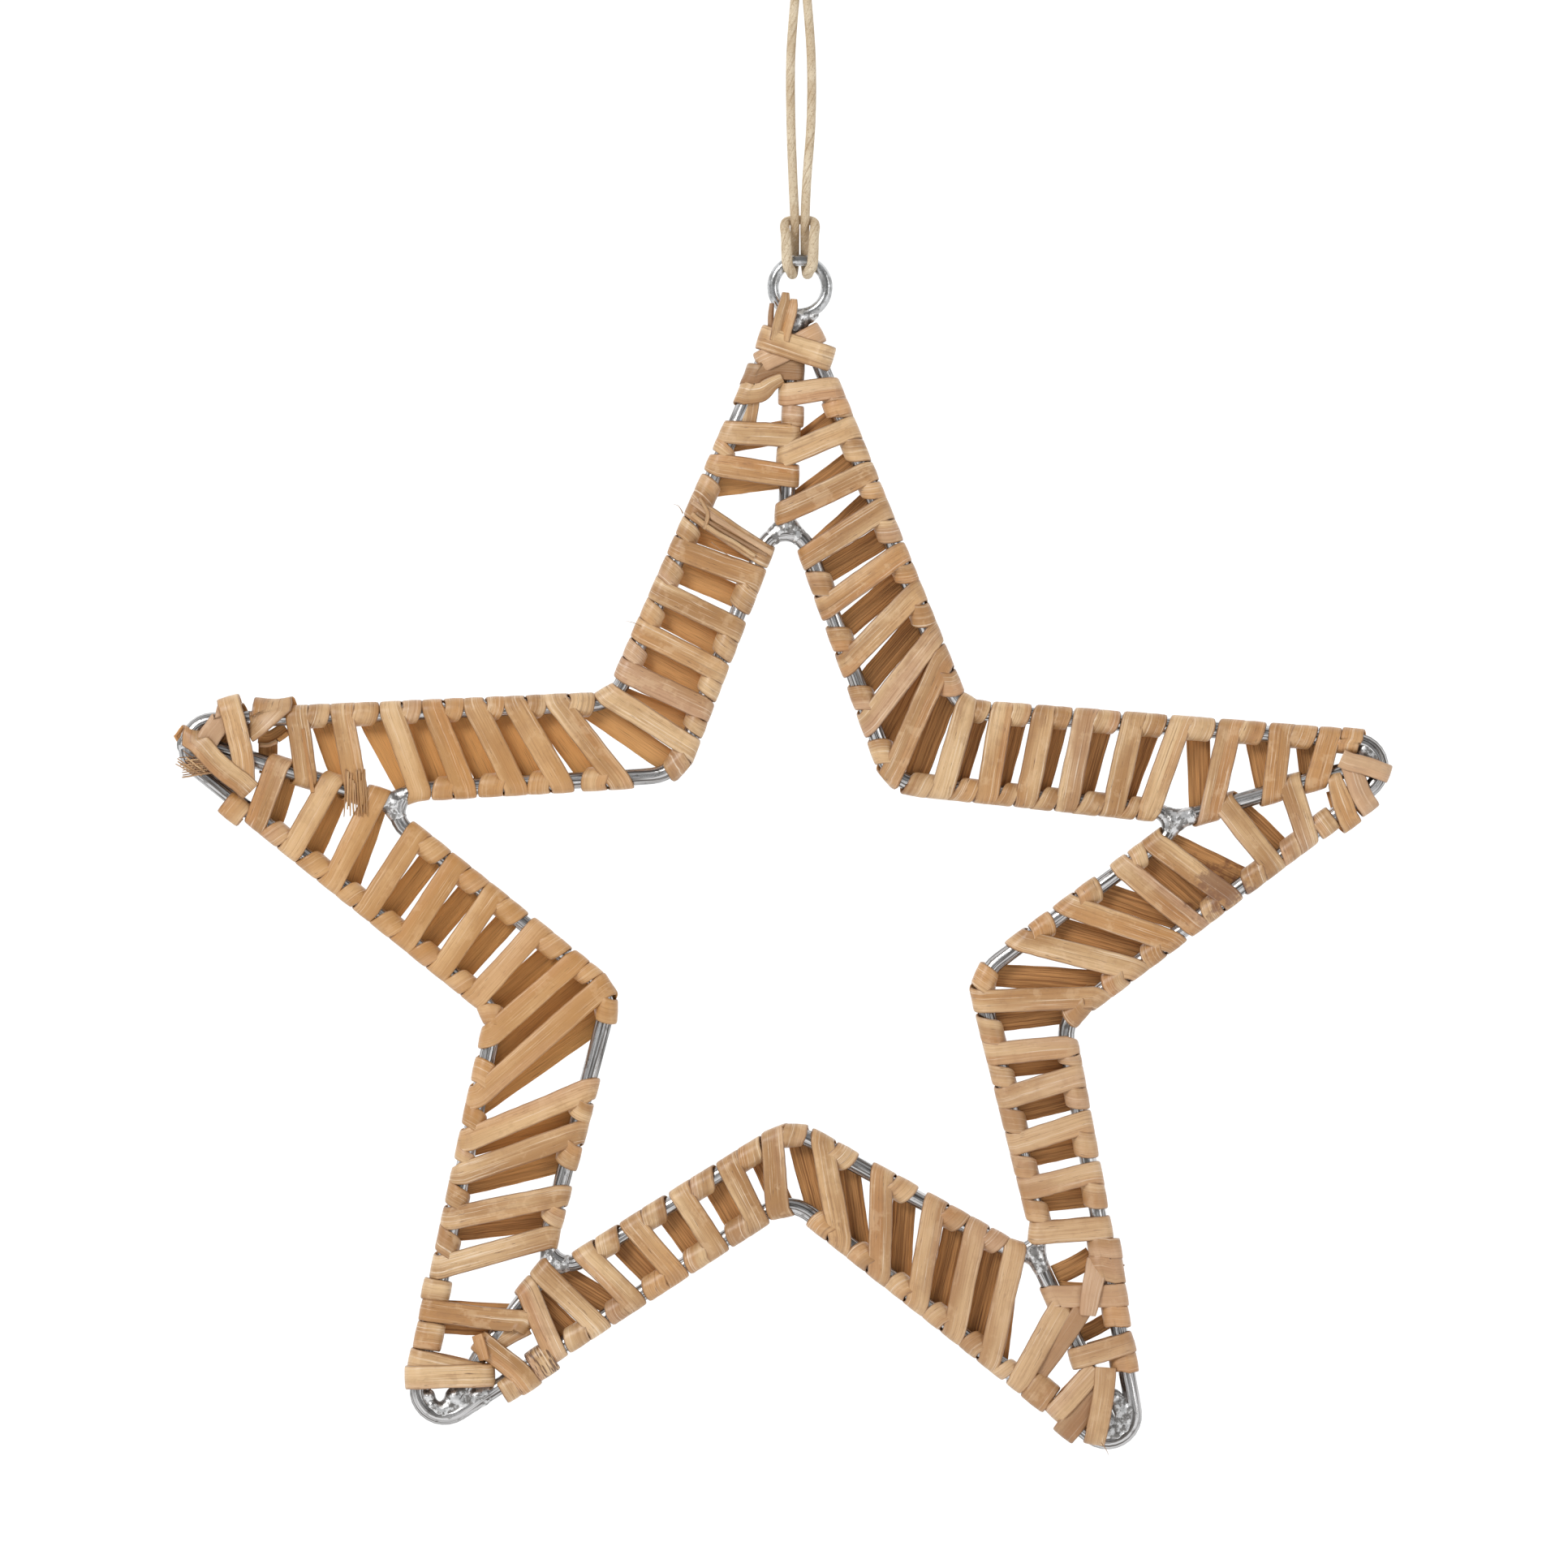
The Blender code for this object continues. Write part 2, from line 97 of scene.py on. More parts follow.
# The strips
STRIP_WIDTH = 0.00424
STRIP_THICKNESS = 0.0006
WRAP_CLEARANCE = 0.00008
WRAP_REACH = WIRE_DIAMETER / 2 + STRIP_THICKNESS / 2 + WRAP_CLEARANCE
WRAP_STEP = math.radians(15)
PASS_STEP = 0.0014
STRIP_BOW = 0.0001
STRIP_START = 0.0008
TURN_CLEARANCE = 0.0001
LEAST_ROOM = 0.0013
EXTRA_TURN_WIDTH = 1.10
EXTRA_TURN_SHARE = 0.92
MOST_LEAN = 0.9
FIBRE_THICKNESS = 0.00028

# How far a strip wanders: its width and thickness as shares, then its line and its edges
WIDTH_WANDER = 0.05
THICKNESS_WANDER = 0.15
LINE_WANDER = 0.00010
EDGE_WANDER = 0.00005

# The strips laid over the points. Two places lie at least a step apart, a slant at a wire is felt
# over a length, and a strip above the high lift goes round all that lie below it
LEAST_STEP = 0.0013
SKEWED_LENGTH = 0.006
HIGH_LIFT = 0.0024

# Their ends wound round a wire, in degrees, for a flat strip and for one that is rolled over
TURN_STEP = 15
FLAT_REACH = 180
ROLLED_REACH = 150

# How such an end slants, and how it closes on the wire and drifts along it for each radian
MOST_SLANT = 0.8
LEAST_ACROSS = 0.3
END_CLOSING = 0.14
END_DRIFT = 0.3

# What the bends of a turn round one wire take up, and its least flat part, to either side
TURN_WIDTH = 0.0043
LEAST_TURN = 0.0003

# A strip's section, as shares of its width and thickness, its outer side first
SECTION = [
    (-0.50, -0.08), (-0.48, 0.24), (-0.40, 0.42), (0.00, 0.54), (0.40, 0.42), (0.48, 0.24),
    (0.50, -0.08), (0.47, -0.34), (0.25, -0.46), (-0.25, -0.46), (-0.47, -0.34),
]
OUTER_FACES = 6

# The texture map's second value: a step for each shade, and within it the outer side and the inner
SHADE_STEP = 4.0
OUTER_SIDE = 0.5
INNER_SIDE = 2.5

# Where each strip crosses the front, in mm from the band's corner: its place on the outer wire and
# on the inner one, then the same for the strips whose inner end is on the strut, from the crotch.
# First the half towards the point before the corner, then the half after.
FRONTS = [
    (
        [(8.7, 1.4), (13.4, 11.8), (22.1, 23.1), (29.9, 33.9), (38.7, 43.7)],
        [(46.0, 4.0), (54.7, 14.3), (62.8, 25.3)],
        [(0.5, 8.6), (7.1, 16.8), (14.8, 24.0), (22.2, 31.5), (31.1, 39.9), (39.6, 46.4)],
        [(48.7, 8.0), (58.1, 19.8), (67.0, 28.1)],
    ),
    (
        [(15.2, 10.1), (23.7, 20.7), (29.0, 32.6), (37.1, 39.9)],
        [(47.2, 10.6), (55.2, 23.0)],
        [(-6.4, 4.2), (4.5, 14.0), (10.2, 22.1), (18.6, 30.8), (28.0, 39.2), (38.1, 47.6)],
        [],
    ),
    (
        [(11.2, 6.0), (20.4, 18.2), (29.3, 29.1), (37.9, 37.8), (46.2, 45.9)],
        [(53.0, 12.2)],
        [(2.0, 3.9), (6.5, 12.9), (15.5, 23.0), (24.4, 33.3), (33.6, 43.4)],
        [(41.5, 3.5), (50.5, 7.9)],
    ),
    (
        [(23.5, 17.9), (30.0, 25.9), (38.3, 37.7), (47.2, 45.5)],
        [],
        [(-15.3, 1.4), (-4.0, 8.4), (4.1, 17.3), (12.2, 27.5), (20.6, 36.2), (29.6, 45.4)],
        [(37.7, 4.5), (47.1, 13.2), (55.5, 23.3)],
    ),
    (
        [(9.4, 10.1), (17.2, 20.5), (24.6, 28.9), (32.3, 38.1), (40.0, 46.2)],
        [(49.0, 8.0), (57.3, 17.7)],
        [(0.2, 5.4), (5.7, 12.6), (13.5, 20.1), (21.5, 28.4), (30.0, 38.3), (37.7, 42.8)],
        [(46.9, 10.4), (53.4, 17.7)],
    ),
]

# How far the strips' parts behind lie from the middle of their room, in mm along the outer wire and
# the inner one, for the four stretches of each band in the order that it is wound.
BACKS = [
    [(1.0, 0.0), (0.0, -1.0), (-1.0, -2.0), (0.5, -1.0)],
    [(1.0, -1.5), (0.0, -0.5), (-0.5, -1.5), (0.0, 0.0)],
    [(2.0, 1.0), (0.0, -0.5), (-1.0, -1.5), (0.0, 0.0)],
    [(0.0, 0.0), (2.0, -0.5), (1.0, -0.5), (1.5, -2.0)],
    [(0.0, -2.0), (0.0, 0.0), (0.5, 0.0), (1.5, 1.0)],
]

# A dark stain on the right point
STAIN = (0.0768, -0.0020, -0.1687)

# The middle of the part whose strips are more golden than the rest
GOLDEN = (-0.0630, 0.0, -0.1780)

# The middle of the part whose strips are a little darker
DARKER = (0.0560, 0.0, -0.2300)

# The middle of the part whose strips behind are made paler as painted light falling on them
LIT_BACKS = (-0.0450, 0.0, -0.1240)

# The middle of the painted shade that browns the cord inside its hitch, where it lies recessed
HITCH_SHADE = (0.0, 0.0015, -0.0515)

# The photograph's scale, and its pixel at the frame's zero
MM_PER_PIXEL = 0.148
ZERO_PIXEL = (987, -50.4)

# Shades of the strips, and the ends of a strip that go on round a wire
# The dull shade is darker partly as the strips' own tone and partly as painted shade, for strips lying
# behind or beside others
PLAIN, DULL_AND_SHADED, ORANGE, PINK, KNOTTY = range(5)
NEITHER, FIRST, LAST, BOTH = range(4)

# The strips laid one on another over each point, read from the photograph: shade, width in pixels,
# which ends go on round a wire, and places (x, y, lift in mm). A place where the strip is rolled over
# or narrower has the degrees and the share of its width as well.
POINT_STRIPS = {
    "top": [
        (PLAIN, 31, BOTH, [(930, 413, 3.2), (959, 422, 3.1), (980, 429, 3.0), (1000, 435, 3.0),
                           (1031, 445, 3.2)]),
        (PINK, 27, BOTH, [(1017, 407, 2.6), (1000, 415, 2.6), (972, 430, 2.5), (929, 450, 2.6)]),
        (DULL_AND_SHADED, 26, BOTH, [(915, 465, 2.0), (938, 460, 2.0), (955, 455, 2.0), (972, 454, 2.0),
                          (994, 460, 2.0)]),
        (PLAIN, 27, FIRST, [(906, 487, 2.0), (938, 483, 2.1, 8, 0.97), (951, 473, 2.2, 30, 0.8),
                            (964, 466, 2.2, 45, 0.65)]),
        (PLAIN, 20, NEITHER, [(928, 482, 1.2), (925, 500, 1.1), (920, 532, 1.0)]),
        (PLAIN, 16, NEITHER, [(956, 420, 3.0, 22, 1.0), (959, 402, 3.3, 22, 1.0),
                              (963, 386, 3.4, 22, 1.0), (967, 372, 3.3, 22, 0.85),
                              (968, 361, 3.2, 22, 0.55)]),
        (PLAIN, 14, NEITHER, [(966, 420, 3.1, -22, 1.0), (970, 404, 3.3, -22, 1.0),
                              (974, 390, 3.4, -22, 1.0), (977, 378, 3.3, -22, 0.9),
                              (978, 369, 3.3, -22, 0.6)]),
        (DULL_AND_SHADED, 9, NEITHER, [(950, 408, 1.9, -40, 1.0), (950, 390, 2.0, -50, 1.0),
                            (951, 374, 1.8, -50, 0.7)]),
        (PINK, 7, NEITHER, [(853, 618, 2.2), (880, 638, 2.5), (915, 660, 2.5), (952, 682, 2.3)]),
        (DULL_AND_SHADED, 4, NEITHER, [(858, 632, 2.3), (884, 650, 2.5), (915, 668, 2.5), (945, 684, 2.3)]),
        (PLAIN, 6, NEITHER, [(852, 633, 2.3), (880, 655, 2.6), (905, 669, 2.5), (930, 686, 2.3)]),
        (PLAIN, 5, NEITHER, [(862, 614, 2.2), (872, 632, 2.9), (868, 652, 2.4)]),
    ],
    "left": [
        (ORANGE, 5, NEITHER, [(374, 898, 2.2), (378, 925, 2.2), (383, 955, 2.2), (386, 976, 2.1)]),
        (PLAIN, 28, FIRST, [(227, 901, 2.3), (250, 920, 2.9), (265, 937, 3.2), (283, 953, 3.2),
                            (297, 963, 3.1), (306, 971, 2.7), (309, 974, 2.2)]),
        (PLAIN, 29, FIRST, [(279, 854, 2.9), (291, 895, 2.9), (298, 925, 2.9), (301, 945, 2.8),
                            (301, 966, 2.3)]),
        (PINK, 28, FIRST, [(292, 868, 2.2), (272, 890, 2.2), (258, 910, 2.2), (249, 928, 2.1)]),
        (PLAIN, 30, FIRST, [(342, 860, 2.1, 0, 1.45), (331, 880, 2.4, 15, 1.25),
                            (320, 894, 2.2, 30, 1.0), (308, 906, 1.5, 40, 0.8)]),
        (PLAIN, 6, NEITHER, [(320, 918, 0.3), (331, 918, 0.2), (343, 912, 0.0), (355, 903, 0.1)]),
        (DULL_AND_SHADED, 16, NEITHER, [(318, 908, -0.9), (334, 908, -1.0), (352, 896, -1.0)]),
        (PLAIN, 24, NEITHER, [(330, 900, -1.9), (330, 925, -1.9), (331, 952, -1.9)]),
    ],
    "right": [
        (PINK, 23, LAST, [(1652, 934, 2.3), (1664, 939, 2.5), (1680, 943, 2.6), (1697, 949, 2.6),
                          (1716, 956, 2.5)]),
        (PINK, 26, LAST, [(1662, 936, 2.0), (1668, 953, 2.0), (1675, 974, 2.0), (1690, 1003, 2.0)]),
        (PLAIN, 27, BOTH, [(1640, 948, 2.0, 0, 0.7), (1647, 968, 2.0, 0, 0.85),
                           (1653, 988, 2.0, 0, 1.0), (1667, 1023, 2.0)]),
    ],
    "lower_right": [
        (PINK, 28, BOTH, [(1283, 1597, 2.0), (1320, 1597, 2.0), (1360, 1596, 2.0), (1392, 1595, 2.0)]),
        (PINK, 28, NEITHER, [(1353, 1552, 1.0), (1349, 1569, 2.0, 0, 0.95), (1344, 1592, 2.8, 0, 0.9),
                             (1341, 1610, 2.6, 0, 0.85), (1340, 1620, 2.4, 0, 0.7)]),
        (PLAIN, 27, BOTH, [(1314, 1676, 2.6), (1340, 1669, 2.6), (1360, 1663, 2.6), (1380, 1657, 2.6),
                           (1401, 1650, 2.6)]),
        (PLAIN, 25, BOTH, [(1365, 1674, 2.1, 0, 0.7), (1380, 1680, 2.1, 0, 0.85), (1405, 1677, 2.2)]),
        (PLAIN, 27, FIRST, [(1293, 1748, 2.6), (1318, 1722, 2.6), (1333, 1705, 2.5),
                            (1350, 1686, 2.2)]),
        (DULL_AND_SHADED, 30, FIRST, [(1306, 1772, 2.1), (1330, 1742, 2.1), (1350, 1712, 2.0)]),
        (PLAIN, 27, FIRST, [(1345, 1784, 3.1), (1352, 1758, 3.0), (1356, 1735, 2.9),
                            (1360, 1710, 2.8), (1362, 1684, 2.4)]),
        # Painted shade: dull and darker where it lies in the shadow beside the strip in front of it
        (DULL_AND_SHADED, 24, NEITHER, [(1334, 1612, 1.9), (1308, 1652, 1.7), (1277, 1694, 1.0)]),
        (DULL_AND_SHADED, 20, NEITHER, [(1322, 1650, -1.9), (1348, 1637, -1.9), (1374, 1622, -1.9)]),
        (DULL_AND_SHADED, 26, NEITHER, [(1300, 1572, -1.9), (1325, 1560, -1.9), (1345, 1548, -1.9)]),
    ],
    "lower_left": [
        (PLAIN, 29, BOTH, [(494, 1697, 3.2), (524, 1696, 3.2), (560, 1695, 3.2), (590, 1694, 3.2),
                           (615, 1695, 3.2)]),
        (PLAIN, 27, FIRST, [(500, 1672, 2.5), (530, 1678, 2.5), (560, 1685, 2.5), (592, 1692, 2.4)]),
        (PLAIN, 28, BOTH, [(515, 1612, 2.0), (560, 1618, 2.0), (600, 1624, 2.0), (660, 1629, 2.0)]),
        (PLAIN, 29, BOTH, [(584, 1650, 2.0), (600, 1659, 2.0), (620, 1675, 2.0), (638, 1689, 2.0),
                           (660, 1713, 2.0)]),
        (ORANGE, 17, NEITHER, [(588, 1644, 2.4, 30, 0.9), (592, 1658, 2.6, 35, 1.0),
                               (597, 1675, 2.5, 35, 0.9)]),
        (PLAIN, 22, NEITHER, [(650, 1633, 1.0), (630, 1644, 1.0), (604, 1659, 0.8)]),
        (DULL_AND_SHADED, 20, NEITHER, [(540, 1633, -1.9), (575, 1635, -1.9), (612, 1638, -1.9)]),
        (DULL_AND_SHADED, 8, NEITHER, [(560, 1712, 0.6), (580, 1713, 0.6), (594, 1714, 0.6)]),
    ],
}

# The short turns round one wire there: shade, width, length that shows, middle (x, y), the way that
# the strip goes over the wire, and lift in mm.
POINT_TURNS = {
    "top": [
        (PLAIN, 26, 30, (977, 512), (26, 5), 1.9),
        (ORANGE, 20, 30, (1031, 503), (40, -6), 2.3),
    ],
    "left": [(PLAIN, 31, 38, (290, 996), (26, -34), 1.95)],
    "right": [
        (PLAIN, 27, 38, (1663, 913), (-17, 30), 1.95),
        (PLAIN, 27, 36, (1632, 1014), (22, 30), 1.95),
    ],
    "lower_right": [
        (PLAIN, 26, 46, (1361, 1537), (40, 5), 1.95),
        (PLAIN, 30, 46, (1364, 1563), (40, 9), 2.0),
        (ORANGE, 27, 38, (1375, 1621), (40, 3), 1.95),
        (PLAIN, 35, 44, (1282, 1714), (22, -30), 1.95),
    ],
    "lower_left": [
        (PLAIN, 34, 40, (529, 1646), (40, 5), 1.95),
        (PLAIN, 26, 40, (538, 1589), (40, 6), 1.95),
        (KNOTTY, 31, 44, (668, 1677), (26, 44), 2.0),
        (PLAIN, 28, 36, (630, 1708), (24, 40), 1.95),
    ],
}

# Weld that fills the points: the point, then x, z and radius of each lump, in mm
FILLS = [
    ("lower_left", [
        (-62.9, -262.3, 1.5), (-61.7, -263.1, 1.6), (-60.1, -262.8, 1.5), (-58.5, -262.0, 1.4),
        (-57.3, -261.3, 1.2), (-63.8, -263.9, 1.4), (-65.3, -265.0, 1.3), (-61.6, -261.0, 1.2),
        (-68.0, -262.0, 0.7), (-67.3, -263.6, 0.7), (-66.2, -264.6, 0.9), (-64.9, -264.3, 0.8),
    ]),
    ("lower_right", [
        (57.0, -262.3, 1.0), (57.7, -263.6, 1.5), (58.5, -265.1, 1.6), (58.0, -266.8, 1.7),
        (57.0, -267.9, 1.7), (55.6, -268.8, 1.6), (59.3, -266.2, 1.5), (59.1, -267.8, 1.5),
        (57.6, -269.1, 1.4), (54.2, -269.1, 1.4), (59.9, -264.4, 1.3), (56.1, -266.8, 1.4),
    ]),
    ("right", [
        (104.3, -145.4, 1.4), (103.0, -144.2, 1.2), (105.1, -147.3, 1.3),
    ]),
    ("left", [
        (-111.1, -144.8, 1.4), (-109.7, -145.7, 1.3), (-111.9, -143.3, 1.3),
    ]),
]

# Broken ends: the point, the foot and the tip of the fibres, their width there and their number
FRAYED = [
    ("left", (-81.2, -2.4, -147.6), (-81.0, -2.3, -156.0), 3.6, 4.6, 12),
    ("left", (-106.6, -1.6, -146.8), (-112.8, -1.6, -147.4), 3.2, 4.0, 9),
    ("left", (-108.6, -1.6, -149.0), (-113.2, -1.6, -145.6), 2.4, 3.4, 6),
]

# Stray fibres: the band, the diameter and the places, in mm
HAIRS = [
    ("upper_left", 0.2, [(-21.5, -2.4, -101.1), (-22.3, -2.9, -99.8), (-23.4, -2.9, -99.4)]),
    ("upper_left", 0.16, [(-29.2, -2.2, -121.6), (-30.6, -2.8, -121.0), (-32.1, -2.6, -120.7)]),
    ("upper_left", 0.2, [(-16.4, -2.1, -106.3), (-13.3, -2.4, -108.7), (-8.4, -1.6, -110.9)]),
    ("upper_left", 0.18, [(-17.6, -2.5, -102.2), (-12.9, -2.9, -104.4), (-8.7, -2.6, -106.9)]),
    ("right", 0.22, [(54.6, -3.3, -270.3), (55.5, -3.4, -271.5), (56.1, -3.2, -272.8)]),
    ("upper_right", 0.16, [(16.7, -2.2, -111.8), (18.5, -2.7, -111.1), (19.8, -2.5, -111.5)]),
]

# Seeds of the random draws for the windings, the points' strips and the broken ends
WINDING_SEED = 11
POINT_SEED = 40
POINT_SEED_STEP = 50
FRAY_SEED = 300


# Camera and lamps


def place_camera():
    distance = 2.6
    seen_width = 0.2859
    middle = Vector((-0.0031, 0.0, -0.1504))
    data = bpy.data.cameras.new("camera")
    data.sensor_width = 36.0
    data.lens = data.sensor_width * distance / seen_width
    data.clip_end = 60.0
    camera = bpy.data.objects.new("camera", data)
    camera.location = middle + FRONT * distance
    camera.rotation_euler = (math.radians(90), 0.0, 0.0)
    bpy.context.scene.collection.objects.link(camera)
    bpy.context.scene.camera = camera


def soft_light(name, place, aim, size, power):
    data = bpy.data.lights.new(name, "AREA")
    data.shape = "RECTANGLE"
    data.size, data.size_y = size
    data.energy = power
    light = bpy.data.objects.new(name, data)
    light.location = place
    light.rotation_euler = (Vector(aim) - Vector(place)).to_track_quat("-Z", "Y").to_euler()
    bpy.context.scene.collection.objects.link(light)


# Materials


class Field:
    """A socket of a material, so that its maths reads as plain expressions."""

    def __init__(self, finish, socket):
        self.finish = finish
        self.socket = socket

    def __add__(self, other):
        return self.finish.maths("ADD", self, other)

    __radd__ = __add__

    def __mul__(self, other):
        return self.finish.maths("MULTIPLY", self, other)

    def __sub__(self, other):
        return self.finish.maths("SUBTRACT", self, other)

    def __rsub__(self, other):
        return self.finish.maths("SUBTRACT", other, self)

    def __gt__(self, other):
        return self.finish.maths("GREATER_THAN", self, other)


class Finish:
    """A material under construction."""

    def __init__(self, name):
        self.made = bpy.data.materials.new(name)
        self.made.use_nodes = True
        self.tree = self.made.node_tree
        self.shader = self.tree.nodes["Principled BSDF"]

    def node(self, kind, feeds=(), out=0, **settings):
        """A node of any kind: its settings first, then what feeds its sockets."""
        node = self.tree.nodes.new(kind)
        for name, value in settings.items():
            setattr(node, name, value)
        for key, value in dict(feeds).items():
            self.feed(node.inputs[key], value)
        return Field(self, node.outputs[out])

    def feed(self, socket, value):
        if isinstance(value, Field):
            self.tree.links.new(value.socket, socket)
        else:
            socket.default_value = value

    def maths(self, operation, a, b=0.0):
        return self.node("ShaderNodeMath", {0: a, 1: b}, operation=operation)

    def place(self):
        """The place in the frame, as the pieces aren't moved."""
        return self.node("ShaderNodeTexCoord", out=3)

    def mapped(self, name):
        """The two values of a texture map."""
        both = self.node("ShaderNodeSeparateXYZ", {0: self.node("ShaderNodeUVMap", uv_map=name)})
        return both, Field(self, both.socket.node.outputs[1])

    def away(self, spot):
        """The distance from a spot."""
        feeds = {0: self.place(), 1: spot}
        return self.node("ShaderNodeVectorMath", feeds, operation="DISTANCE", out=1)

    def eased(self, value, low, high):
        """How far a value has gone from low to high, from nought to one."""
        feeds = {"Value": value, "From Min": low, "From Max": high}
        return self.node("ShaderNodeMapRange", feeds, interpolation_type="SMOOTHSTEP")

    def blend(self, share, a, b):
        feeds = {0: share, 6: self.colour(a), 7: self.colour(b)}
        return self.node("ShaderNodeMix", feeds, out=2, data_type="RGBA")

    def layered(self, base, layers):
        """The base under layers of colour. Each comes in as its value goes from low to high, up to
        its share."""
        for value, low, high, share, colour in layers:
            base = self.blend(self.eased(value, low, high) * share, base, tone(*colour))
        return base

    def colour(self, value):
        return value if isinstance(value, Field) else (*value, 1.0)

    def vector(self, x, y, z):
        return self.node("ShaderNodeCombineXYZ", {0: x, 1: y, 2: z})

    def noise(self, vector, scale, detail=2.0, roughness=0.5):
        feeds = {"Vector": vector, "Scale": scale, "Detail": detail, "Roughness": roughness}
        return self.node("ShaderNodeTexNoise", feeds)

    def surface(self, **inputs):
        names = {"base": "Base Color", "roughness": "Roughness", "metallic": "Metallic"}
        names.update({"normal": "Normal", "coat": "Coat Weight", "coat_roughness": "Coat Roughness"})
        for key, value in inputs.items():
            is_colour = key == "base"
            self.feed(self.shader.inputs[names[key]], self.colour(value) if is_colour else value)
        return self.made

    def bump(self, height, distance, strength=1.0):
        feeds = {"Height": height, "Distance": distance, "Strength": strength}
        return self.node("ShaderNodeBump", feeds)


def tone(red, green, blue):
    """A colour as paint charts give it, 0 to 255, made linear."""
    shares = [part / 255 for part in (red, green, blue)]
    return tuple(s / 12.92 if s <= 0.04045 else ((s + 0.055) / 1.055) ** 2.4 for s in shares)


class Grain:
    """What a strip's map gives its finish: where along and across the strip, and its fibres."""

    def __init__(self, made):
        self.along, down = made.mapped("run")
        self.shade = made.maths("FLOOR", down * (1 / SHADE_STEP))
        self.across = down - self.shade * SHADE_STEP
        self.under = self.across > (OUTER_SIDE + INNER_SIDE) / 2
        self.share = self.across - self.under * (INNER_SIDE - OUTER_SIDE)
        self.fibres = made.noise(made.vector(self.along * 70.0, self.across * 16.0, 0.3), 1.0, 3.0, 0.62)
        self.threads = made.noise(made.vector(self.along * 150.0, self.across * 44.0, 4.1), 1.0, 2.0, 0.6)
        self.marks = made.noise(made.vector(self.along * 420.0, self.across * 17.0, 9.4), 1.0)
        self.cracks = made.eased(self.marks, 0.52, 0.60) * made.maths("COMPARE", self.shade, KNOTTY)


def cane_skin(made, grain):
    """The outer side's colours: patches, a darker half here and there, fibres and marks, and painted
    shade along its edges.
    """
    along, share = grain.along, grain.share
    patches = made.noise(made.vector(along * 40.0, share * 0.9, 7.7), 1.0)
    warm = made.noise(made.vector(along * 16.0, share * 0.5, 2.2), 1.0, 1.0)
    clefts = made.noise(made.vector(along * 30.0, grain.across * 11.0, 6.0), 1.0, 1.0)
    blotches = made.noise(made.place(), 330.0, 3.0, 0.65)
    half = made.eased(share - made.noise(made.vector(along * 9.0, 0.0, 1.0), 1.0), 0.05, 0.08)
    half = half * made.eased(made.noise(made.vector(along * 11.0, 0.0, 5.0), 1.0), 0.50, 0.56)
    # Painted shade: the strip is darkened towards both its edges, where its section turns away
    edge_shade = made.maths("ABSOLUTE", share - 0.5)
    tan = made.layered(tone(220, 184, 137), [
        (patches, 0.34, 0.66, 1.0, (168, 122, 70)),
        (warm, 0.50, 0.72, 0.75, (194, 138, 76)),
        (warm, 0.44, 0.30, 0.60, (204, 162, 130)),
    ])
    tan = made.blend(half * 0.45, tan, tone(184, 124, 66))
    return made.layered(tan, [
        (grain.fibres, 0.48, 0.74, 0.60, (150, 102, 56)),
        # Pale fibres of the cane, made paler partly as a painted sheen
        (grain.fibres, 0.45, 0.25, 0.75, (246, 228, 204)),
        (grain.threads, 0.54, 0.72, 0.34, (142, 98, 58)),
        (blotches, 0.52, 0.68, 0.24, (146, 102, 62)),
        (blotches, 0.46, 0.34, 0.30, (224, 190, 150)),
        (grain.marks, 0.66, 0.77, 0.75, (92, 58, 34)),
        (clefts, 0.67, 0.74, 0.36, (104, 66, 36)),
        (edge_shade, 0.42, 0.50, 0.70, (124, 80, 42)),
    ])


def shaded(made, grain, tan):
    """The outer side in the strip's own shade and that of its part of the star, the dull one darker
    partly as painted shade.
    """
    for shade, share, colour in (
        (DULL_AND_SHADED, 0.62, tone(134, 92, 54)),
        (ORANGE, 0.45, tone(198, 132, 66)),
        (PINK, 0.40, tone(214, 178, 146)),
    ):
        tan = made.blend(made.maths("COMPARE", grain.shade, shade) * share, tan, colour)
    tan = made.blend(grain.cracks * 0.85, tan, tone(98, 60, 34))
    return made.layered(tan, [
        (made.away(GOLDEN), 0.050, 0.024, 0.42, (206, 148, 76)),
        (made.away(DARKER), 0.052, 0.026, 0.36, (182, 138, 98)),
    ])


def cane_pith(made, grain):
    """The fibrous inner side, made paler on part of the star by painted light."""
    return made.layered(tone(206, 150, 90), [
        (grain.fibres, 0.35, 0.70, 1.0, (144, 96, 50)),
        # Painted light: paler on the backs of the strips there
        (made.away(LIT_BACKS), 0.064, 0.034, 0.72, (222, 168, 106)),
        (made.away(GOLDEN), 0.056, 0.034, 0.65, (214, 156, 86)),
        (grain.threads, 0.52, 0.70, 0.5, (84, 54, 32)),
    ])


def stained(made, base):
    """The base with the dark stain, its edge broken up."""
    grime = made.noise(made.place(), 420.0, 3.0, 0.65)
    reach = made.away(STAIN) * 120.0 + grime * 2.6
    return made.layered(base, [(reach, 2.05, 1.60, 0.68, (112, 66, 38))])


def rattan_finish():
    """Split cane: satin outside, fibrous inside, in five shades told apart by the texture map."""
    made = Finish("rattan")
    grain = Grain(made)
    skin = shaded(made, grain, cane_skin(made, grain))
    base = stained(made, made.blend(grain.under, skin, cane_pith(made, grain)))
    rough = 0.36 + grain.fibres * 0.24 + grain.under * 0.2
    sheen = 0.62 - grain.under * 0.62
    height = grain.fibres * 0.6 + grain.threads * 0.4 - grain.cracks * 0.8
    bump = made.bump(height, 0.00014, 0.8)
    return made.surface(base=base, roughness=rough, normal=bump, coat=sheen, coat_roughness=0.38)


